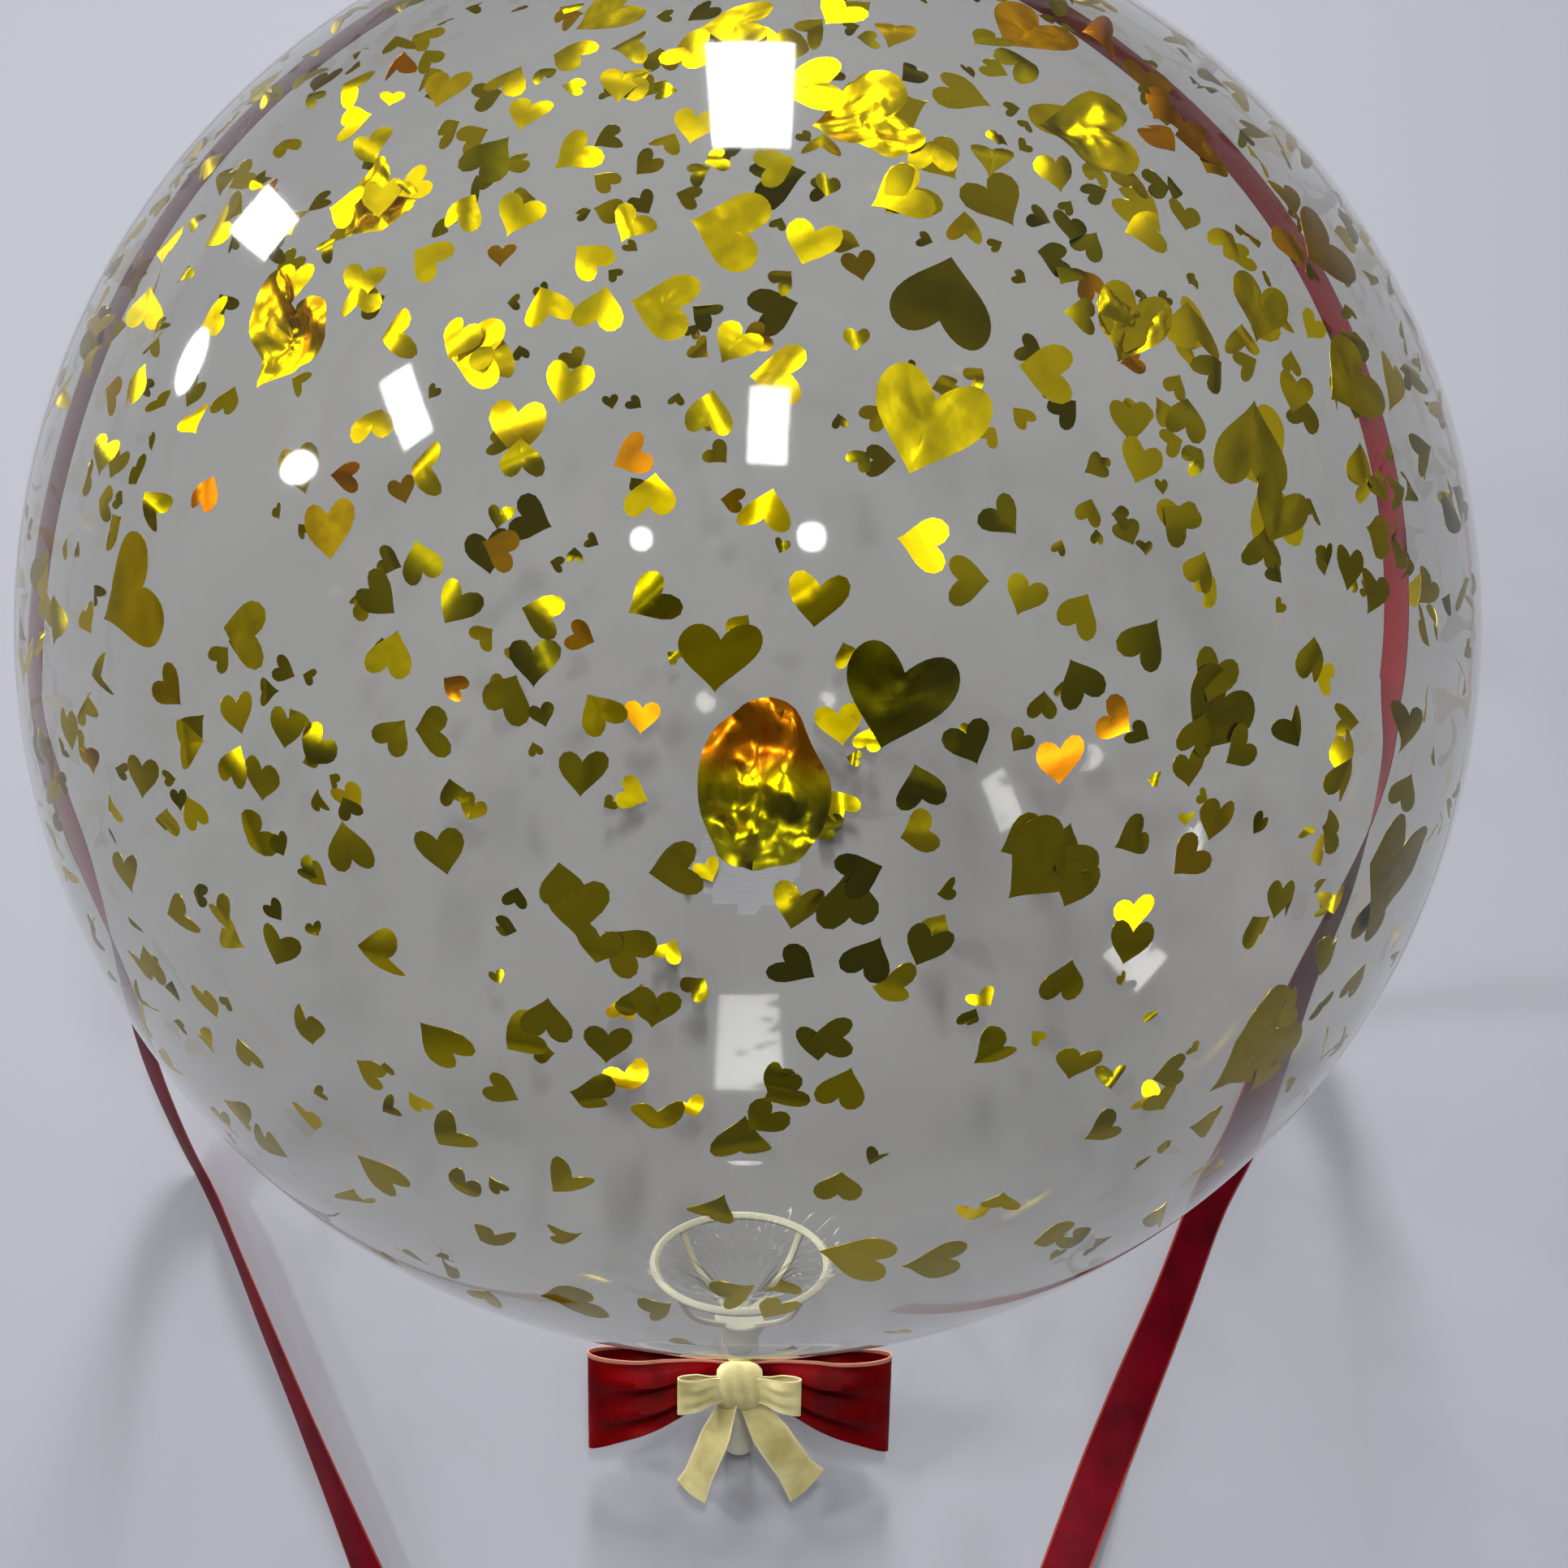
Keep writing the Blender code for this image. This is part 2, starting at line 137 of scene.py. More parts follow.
def link_smooth(name, mesh, crease=radians(50.0)):
    mesh.shade_smooth()
    mesh.set_sharp_from_angle(angle=crease)
    return link(name, mesh)


def add_mesh(name, points, faces):
    mesh = bpy.data.meshes.new(name)
    mesh.from_pydata([tuple(p) for p in points], [], faces)
    return link_smooth(name, mesh)


def give(body, name, values):
    """Keeps a value at every point of a mesh, for its material."""
    body.data.attributes.new(name, "FLOAT", "POINT").data.foreach_set("value", values)


def finish_piece(body, look, slot, *nodes):
    body.data.materials.clear()
    body.data.materials.append(look)
    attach(body, "root")
    if nodes:
        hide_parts(*nodes)
    return body


def lathe(profile, segments):
    """Points and faces turned about Z. The (radius, height) profile starts and ends on the axis."""
    points = [(0.0, 0.0, profile[0][1])]
    for radius, height in profile[1:-1]:
        for s in range(segments):
            turn = tau * s / segments
            points.append((radius * cos(turn), radius * sin(turn), height))
    points.append((0.0, 0.0, profile[-1][1]))
    last = len(points) - 1
    rings = len(profile) - 2
    faces = []
    for s in range(segments):
        n = (s + 1) % segments
        faces.append((0, 1 + s, 1 + n))
        for r in range(rings - 1):
            a, b = 1 + r * segments, 1 + (r + 1) * segments
            faces.append((a + s, b + s, b + n, a + n))
        faces.append((last, last - segments + n, last - segments + s))
    return points, faces


def strip_normals(rows, closed):
    """The outward direction at every point of a strip."""
    count, wide = len(rows), len(rows[0])
    normals = []
    for i, row in enumerate(rows):
        before = rows[i - 1] if closed or i else row
        after = rows[(i + 1) % count] if closed or i + 1 < count else row
        for j in range(wide):
            run = after[j] - before[j]
            side = row[min(j + 1, wide - 1)] - row[max(j - 1, 0)]
            normals.append(side.cross(run).normalized())
    return normals


def strip_faces(count, wide, closed):
    """A strip's two sides and two long edges, and the two ends of an open one."""
    shift = count * wide
    faces = []
    for i in range(count if closed else count - 1):
        k = (i + 1) % count
        for j in range(wide - 1):
            a, b, c, d = i * wide + j, i * wide + j + 1, k * wide + j + 1, k * wide + j
            faces.append((a, b, c, d))
            faces.append((shift + d, shift + c, shift + b, shift + a))
        a, d = i * wide, k * wide
        faces.append((a, d, shift + d, shift + a))
        a, d = i * wide + wide - 1, k * wide + wide - 1
        faces.append((d, a, shift + a, shift + d))
    if not closed:
        for j in range(wide - 1):
            faces.append((j + 1, j, shift + j, shift + j + 1))
            a = (count - 1) * wide + j
            faces.append((a, a + 1, shift + a + 1, shift + a))
    return faces


def ribbon_mesh(name, rows, thickness, closed=False):
    """A cloth strip from rows of points across it. It keeps where each point lies on it."""
    count, wide = len(rows), len(rows[0])
    points = [point for row in rows for point in row]
    normals = strip_normals(rows, closed)
    outer = [p + n * thickness / 2 for p, n in zip(points, normals)]
    inner = [p - n * thickness / 2 for p, n in zip(points, normals)]
    body = add_mesh(name, outer + inner, strip_faces(count, wide, closed))
    along, lengths = 0.0, []
    middle = wide // 2
    for i, row in enumerate(rows):
        along += (row[middle] - rows[i - 1][middle]).length if i else 0.0
        lengths += [along] * wide
    across = [2.0 * j / (wide - 1) - 1.0 for j in range(wide)] * count
    give(body, "across", across * 2)
    give(body, "along", lengths * 2)
    give(body, "inner", [0.0] * len(outer) + [1.0] * len(inner))
    return body


def through(points, steps):
    """A smooth Catmull-Rom run through the points, with the given steps in each span."""
    padded = [points[0] * 2 - points[1], *points, points[-1] * 2 - points[-2]]
    run = []
    for a, b, c, d in zip(padded, padded[1:], padded[2:], padded[3:]):
        for step in range(steps):
            t = step / steps
            curve = b * 2 + (c - a) * t + (a * 2 - b * 5 + c * 4 - d) * t ** 2
            run.append((curve + (b * 3 - a - c * 3 + d) * t ** 3) / 2)
    run.append(points[-1])
    return run


def smoothstep(low, high, value):
    share = min(1.0, max(0.0, (value - low) / (high - low)))
    return share * share * (3.0 - 2.0 * share)


# Materials

def new_material(name):
    made = bpy.data.materials.new(name)
    made.use_nodes = True
    tree = made.node_tree
    return made, tree, tree.nodes["Principled BSDF"]


def plain(node, **values):
    """Sets plain values on a node's sockets, with _ for each space in a socket's name."""
    for name, value in values.items():
        node.inputs[name.replace("_", " ")].default_value = value


def add_noise(tree, scale, detail=3.0, roughness=0.5):
    made = tree.nodes.new("ShaderNodeTexNoise")
    plain(made, Scale=scale, Detail=detail, Roughness=roughness)
    place = tree.nodes.new("ShaderNodeTexCoord")
    tree.links.new(place.outputs["Object"], made.inputs["Vector"])
    return made.outputs["Fac"]


def add_ramp(tree, value, stops):
    """A colour ramp through (position, colour) stops."""
    made = tree.nodes.new("ShaderNodeValToRGB")
    elements = made.color_ramp.elements
    while len(elements) < len(stops):
        elements.new(0.5)
    for element, (position, colour) in zip(elements, stops):
        element.position = position
        element.color = (*colour, 1.0)
    tree.links.new(value, made.inputs["Fac"])
    return made.outputs["Color"]


def add_math(tree, operation, first, second=None, third=None):
    made = tree.nodes.new("ShaderNodeMath")
    made.operation = operation
    for socket, value in zip(made.inputs, (first, second, third)):
        if isinstance(value, (int, float)):
            socket.default_value = value
        elif value is not None:
            tree.links.new(value, socket)
    return made.outputs["Value"]


def add_bump(tree, shader, height, strength, distance, socket="Normal"):
    made = tree.nodes.new("ShaderNodeBump")
    plain(made, Strength=strength, Distance=distance)
    tree.links.new(height, made.inputs["Height"])
    tree.links.new(made.outputs["Normal"], shader.inputs[socket])


def mix_colour(tree, share, first, second):
    """The first colour where the share is 0 and the plain second one where it is 1."""
    mix = tree.nodes.new("ShaderNodeMix")
    mix.data_type = "RGBA"
    tree.links.new(share, mix.inputs["Factor"])
    tree.links.new(first, mix.inputs["A"])
    mix.inputs["B"].default_value = (*second, 1.0)
    return mix.outputs["Result"]


def attribute(tree, name):
    made = tree.nodes.new("ShaderNodeAttribute")
    made.attribute_name = name
    return made.outputs["Fac"]


def clear_film():
    """A film too thin to bend light, with the gloss of its coat on both sides."""
    made, tree, shader = new_material("clear_film")
    # The grey tint darkens all seen through the film: partly the film's own tint, partly painted
    # shade standing in for the shadow that the film, which casts none, would lay under the balloon.
    shader.inputs["Base Color"].default_value = (0.58, 0.57, 0.51, 1.0)
    shader.inputs["Roughness"].default_value = 0.0
    shader.inputs["IOR"].default_value = 1.0
    shader.inputs["Transmission Weight"].default_value = 1.0
    shader.inputs["Coat Weight"].default_value = 1.0
    shader.inputs["Coat IOR"].default_value = 1.3
    shader.inputs["Coat Roughness"].default_value = 0.05
    add_bump(tree, shader, add_noise(tree, 7.0, 1.0), 0.12, 0.002, "Coat Normal")
    return made


def gold_foil():
    made, tree, shader = new_material("gold_foil")
    # Foil tone, dark olive through gold to orange. For the listed foils it is set to how dark or
    # bright each one looks, which is painted shade and painted light; scattered foils take tones at
    # random.
    tint = add_ramp(tree, attribute(tree, "tint"), (
        (0.0, (0.17, 0.15, 0.001)), (0.35, (0.54, 0.43, 0.001)), (0.6, (0.72, 0.55, 0.002)),
        (0.8, (0.62, 0.4, 0.004)), (1.0, (0.62, 0.2, 0.004)),
    ))
    tree.links.new(tint, shader.inputs["Base Color"])
    plain(shader, Metallic=1.0, Specular_Tint=(0.6, 0.5, 0.08, 1.0))
    rough = add_math(tree, "MULTIPLY_ADD", add_noise(tree, 160.0), 0.22, 0.2)
    tree.links.new(rough, shader.inputs["Roughness"])
    add_bump(tree, shader, add_noise(tree, 300.0, 3.0), 0.12, 0.0004)
    return made


# Each satin: its darker and lighter tone, the tone of its turned edge, and where that begins,
# across the ribbon from 0 in the middle to 1. A bow shows only its upper edge, whose pale tone is
# a painted highlight where the top edge catches the light.
RIBBON_RED = ((0.07, 0.0002, 0.003), (0.14, 0.0003, 0.006), (0.26, 0.035, 0.03), 0.9, False)
# The red bow's pale edge tone is a painted highlight along its upper edge.
BOW_RED = ((0.09, 0.0002, 0.001), (0.23, 0.0004, 0.002), (0.6, 0.26, 0.18), 0.9, True)
BOW_GOLD = ((0.52, 0.44, 0.16), (0.95, 0.86, 0.42), (0.8, 0.7, 0.4), 0.86, False)
# The ribbon's paler inner face, painted light standing in for light through the satin from behind;
# it shows only through the film
RIBBON_INNER_PAINTED_LIGHT = (0.36, 0.022, 0.032)
# How steeply the edge's tone sets in, and the weave's waves in radians: for a metre along the
# strip, and for half its width across
EDGE_STEP = 34.0
RIB_WAVE = 9000.0
WARP_WAVE = 260.0


def satin(name, tones, specular, back=None):
    """Woven satin: fine ribs along the strip, soft cloudy tone, and a turned edge, which on a bow is
    a painted highlight on its upper edge only. A paler inner face, when given, is painted light from
    behind.
    """
    dark, light, edge_tone_and_highlight, edge_from, painted_highlight_upper_edge = tones
    made, tree, shader = new_material(name)
    cloud = add_ramp(tree, add_noise(tree, 70.0, 4.0), ((0.32, dark), (0.72, light)))
    # The paler inner face is painted light, as if shining through the satin from behind.
    if back:
        cloud = mix_colour(tree, attribute(tree, "inner"), cloud, back)
    across = attribute(tree, "across")
    # On a bow the edge tone goes on the upper edge only, as a painted highlight.
    if painted_highlight_upper_edge:
        outward = add_math(tree, "MULTIPLY", across, -1.0)
    else:
        outward = add_math(tree, "ABSOLUTE", across)
    edge = add_math(tree, "MULTIPLY", add_math(tree, "SUBTRACT", outward, edge_from), EDGE_STEP)
    edge = add_math(tree, "MAXIMUM", add_math(tree, "SMOOTH_MIN", 1.0, edge, 0.1), 0.0)
    tree.links.new(mix_colour(tree, edge, cloud, edge_tone_and_highlight), shader.inputs["Base Color"])
    plain(shader, Roughness=0.42, Specular_IOR_Level=specular, Sheen_Weight=0.01,
          Sheen_Roughness=0.35, Sheen_Tint=(*light, 1.0))
    along = attribute(tree, "along")
    rib = add_math(tree, "SINE", add_math(tree, "MULTIPLY", along, RIB_WAVE))
    warp = add_math(tree, "SINE", add_math(tree, "MULTIPLY", across, WARP_WAVE))
    weave = add_math(tree, "MULTIPLY_ADD", rib, 0.5, add_math(tree, "MULTIPLY", warp, 0.5))
    soft = add_math(tree, "MULTIPLY_ADD", add_noise(tree, 90.0), 5.0, weave)
    add_bump(tree, shader, soft, 0.18, 0.0003)
    return made


def ivory_plastic():
    made, tree, shader = new_material("white_plastic")
    cloud = add_ramp(tree, add_noise(tree, 60.0), (
        (0.3, (0.62, 0.62, 0.5)), (0.7, (0.73, 0.73, 0.6))))
    tree.links.new(cloud, shader.inputs["Base Color"])
    plain(shader, Roughness=0.34, Subsurface_Weight=0.25, Subsurface_Scale=0.002, IOR=1.49)
    add_bump(tree, shader, add_noise(tree, 900.0, 2.0), 0.15, 0.0002)
    return made


# Balloon film

FILM_SEGMENTS = 288
FILM_RINGS = 150
THROAT_RINGS = 16
TAIL_RINGS = 10
THROAT_BEND = Vector((0.004, 0.0035))
FILM_PLEAT_DEPTH = 0.0018
# How far below the centre the pleats begin and are full, in shares of the radius
PLEATS_START = 0.984
PLEATS_FULL = 1.03


def film_profile():
    """Radius and height of each ring of the film, from the crown down to the gathered tail."""
    sweep = pi - THROAT_START
    rings = [(BALLOON_RADIUS * sin(sweep * i / FILM_RINGS),
              BALLOON_RADIUS * cos(sweep * i / FILM_RINGS)) for i in range(FILM_RINGS + 1)]
    top = Vector(rings[-1])
    neck = Vector((NECK_RADIUS, -NECK_DROP))
    bend = neck + THROAT_BEND
    for i in range(1, THROAT_RINGS + 1):
        t = i / THROAT_RINGS
        point = top * (1 - t) ** 2 + bend * 2 * t * (1 - t) + neck * t ** 2
        rings.append((point.x, point.y))
    for i in range(1, TAIL_RINGS + 1):
        share = i / TAIL_RINGS
        rings.append((NECK_RADIUS + (NECK_TAIL_RADIUS - NECK_RADIUS) * share ** 0.8,
                      -NECK_DROP - NECK_TAIL_LENGTH * share ** 1.25))
    rings.append((0.0, -NECK_DROP - NECK_TAIL_LENGTH))
    return rings


def pleated(point):
    """Gathers the film into uneven pleats that deepen towards the neck."""
    radius = hypot(point.x, point.y)
    start = -BALLOON_RADIUS * PLEATS_START
    if point.z > start or radius < NECK_TAIL_RADIUS * 0.9:
        return point
    deep = smoothstep(start, -BALLOON_RADIUS * PLEATS_FULL, point.z) ** 1.6
    turn = atan2(point.y, point.x)
    uneven = 0.65 + 0.7 * noise.noise(Vector((point.x, point.y, 0.0)).normalized() * 2.1)
    wave = cos(PLEATS * turn + 1.3 * sin(3 * turn)) * uneven
    scale = 1.0 + deep * FILM_PLEAT_DEPTH * (wave - 0.35) / max(radius, 0.012)
    return Vector((point.x * scale, point.y * scale, point.z))


def balloon_film(look):
    points, faces = lathe(film_profile(), FILM_SEGMENTS)
    placed = []
    for p in points:
        world = LEANING @ pleated(Vector(p))
        world.z = max(world.z, 0.0)
        placed.append(world)
    body = add_mesh("balloon_film", placed, faces)
    body.visible_shadow = False
    body.visible_diffuse = False
    body.visible_glossy = False
    return finish_piece(body, look, "clear_film", "bubble_balloon")


# Foil hearts

HEART_POINTS = 22
# How pointed each kind of heart is, and how far its lobes lean
HEART_SHAPES = ((2.7, 0.0), (2.5, 0.1), (2.3, -0.08), (2.1, 0.05))
FOIL_THICKNESS = 0.00006
FILM_GAP = 0.0007
FOIL_LIMIT = BALLOON_RADIUS - FILM_GAP
SMALL_HEART = 0.0118
# Broad and fine creases in a foil's width, and how deep the fine ones are beside the broad
CREASES = 3.2
FINE_CREASES = 8.0
FINE_DEPTH = 0.45


def heart_outline(count, power, skew):
    """A heart across the width of one: a lower power makes it plumper, skew leans its lobes."""
    outline = []
    for i in range(count):
        t = tau * i / count
        x = 16 * copysign(abs(sin(t)) ** power, sin(t))
        y = 13 * cos(t) - 5 * cos(2 * t) - 2 * cos(3 * t) - cos(4 * t)
        outline.append(Vector(((x + skew * y) / 32, (y + 2.5) / 32)))
    return outline


def blob_outline(count):
    """The uneven oval of a foil crushed into a ball, as tall as one."""
    outline = []
    for i in range(count):
        t = tau * i / count
        way = Vector((sin(t), cos(t)))
        reach = 0.5 + 0.09 * noise.noise(Vector((way.x * 1.6, way.y * 1.6, 4.0)))
        outline.append(Vector((way.x * 0.7, way.y)) * reach)
    return outline


def heart_outlines(count):
    return [heart_outline(count, power, skew) for power, skew in HEART_SHAPES]


def foil_axes(out, spin, lean):
    """A foil's right, its top and its face. lean tips the face towards its bottom and left."""
    upward = (EYE_UP - out * EYE_UP.dot(out)).normalized()
    sideways = upward.cross(out)
    turned = Matrix.Rotation(-spin, 3, out)
    upward, sideways = turned @ upward, turned @ sideways
    tip = Matrix.Rotation(lean[0], 3, sideways) @ Matrix.Rotation(-lean[1], 3, upward)
    return tip @ sideways, tip @ upward, tip @ out


def creased(flat, seed):
    """The height of the creases at a point of a crumpled foil, as a share of their depth."""
    broad = noise.noise(Vector((flat.x * CREASES, flat.y * CREASES, seed * 7.3)))
    fine = noise.noise(Vector((flat.x * FINE_CREASES, flat.y * FINE_CREASES, seed * 3.1 + 5)))
    return broad + FINE_DEPTH * abs(fine) - 0.3


class Foils:
    """Collects many thin closed foil shapes into one mesh."""

    def __init__(self):
        self.points, self.faces, self.tints, self.places = [], [], [], []

    def add(self, centre, size, spin, lean, tints, outline, rings=2, crumple=0.0, curl=0.0, seed=0):
        """One foil just inside the film, with the tones of its bottom and its top, which are painted
        shade and painted light where they differ.
        """
        out = (centre - CENTRE).normalized()
        side, up, face = foil_axes(out, spin, lean)
        sink = size * 0.5 * sin(hypot(*lean)) + size ** 2 / 8 / BALLOON_RADIUS
        middle = CENTRE + out * (FOIL_LIMIT - sink)
        sheet = [Vector((0.0, 0.0))]
        for ring in range(1, rings + 1):
            sheet += [p * ring / rings for p in outline]
        bent = []
        for flat in sheet:
            p = middle + (side * flat.x + up * flat.y) * size
            p -= face * curl * (flat.x * cos(seed) + flat.y * sin(seed)) ** 2 * size
            if crumple:
                p += face * crumple * creased(flat, seed)
            if (p - CENTRE).length > FOIL_LIMIT:
                p = CENTRE + (p - CENTRE).normalized() * FOIL_LIMIT
            bent.append(p)
        self.close(bent, face, rings, len(outline))
        # Where the bottom and top tones differ, the blend between them is painted shade and painted
        # light.
        low, high = tints
        tones = [low + (high - low) * smoothstep(-0.15, 0.2, flat.y) for flat in sheet]
        self.tints += tones * 2
        self.places.append((out, size))

    def close(self, sheet, face, rings, n):
        """Gives a bent sheet its thickness. It has a middle point and rings of n points."""
        base, count = len(self.points), len(sheet)
        for way in (1, -1):
            self.points += [p + face * FOIL_THICKNESS / 2 * way for p in sheet]
        for layer, flip in ((base, False), (base + count, True)):
            for i in range(n):
                k = (i + 1) % n
                fan = [(layer, layer + 1 + k, layer + 1 + i)]
                for ring in range(rings - 1):
                    a, b = layer + 1 + ring * n, layer + 1 + (ring + 1) * n
                    fan.append((a + i, a + k, b + k, b + i))
                self.faces += [f[::-1] for f in fan] if flip else fan
        rim, low = base + 1 + (rings - 1) * n, base + count + 1 + (rings - 1) * n
        for i in range(n):
            k = (i + 1) % n
            self.faces.append((rim + i, rim + k, low + k, low + i))

    def clear_of(self, out, size, share):
        """Whether a foil of this size, in this direction, keeps its distance from the rest."""
        return all((out - other).length * BALLOON_RADIUS >= (size + width) / 2 * share
                   for other, width in self.places)

    def body(self, name):
        made = add_mesh(name, self.points, self.faces)
        give(made, "tint", self.tints)
        return made


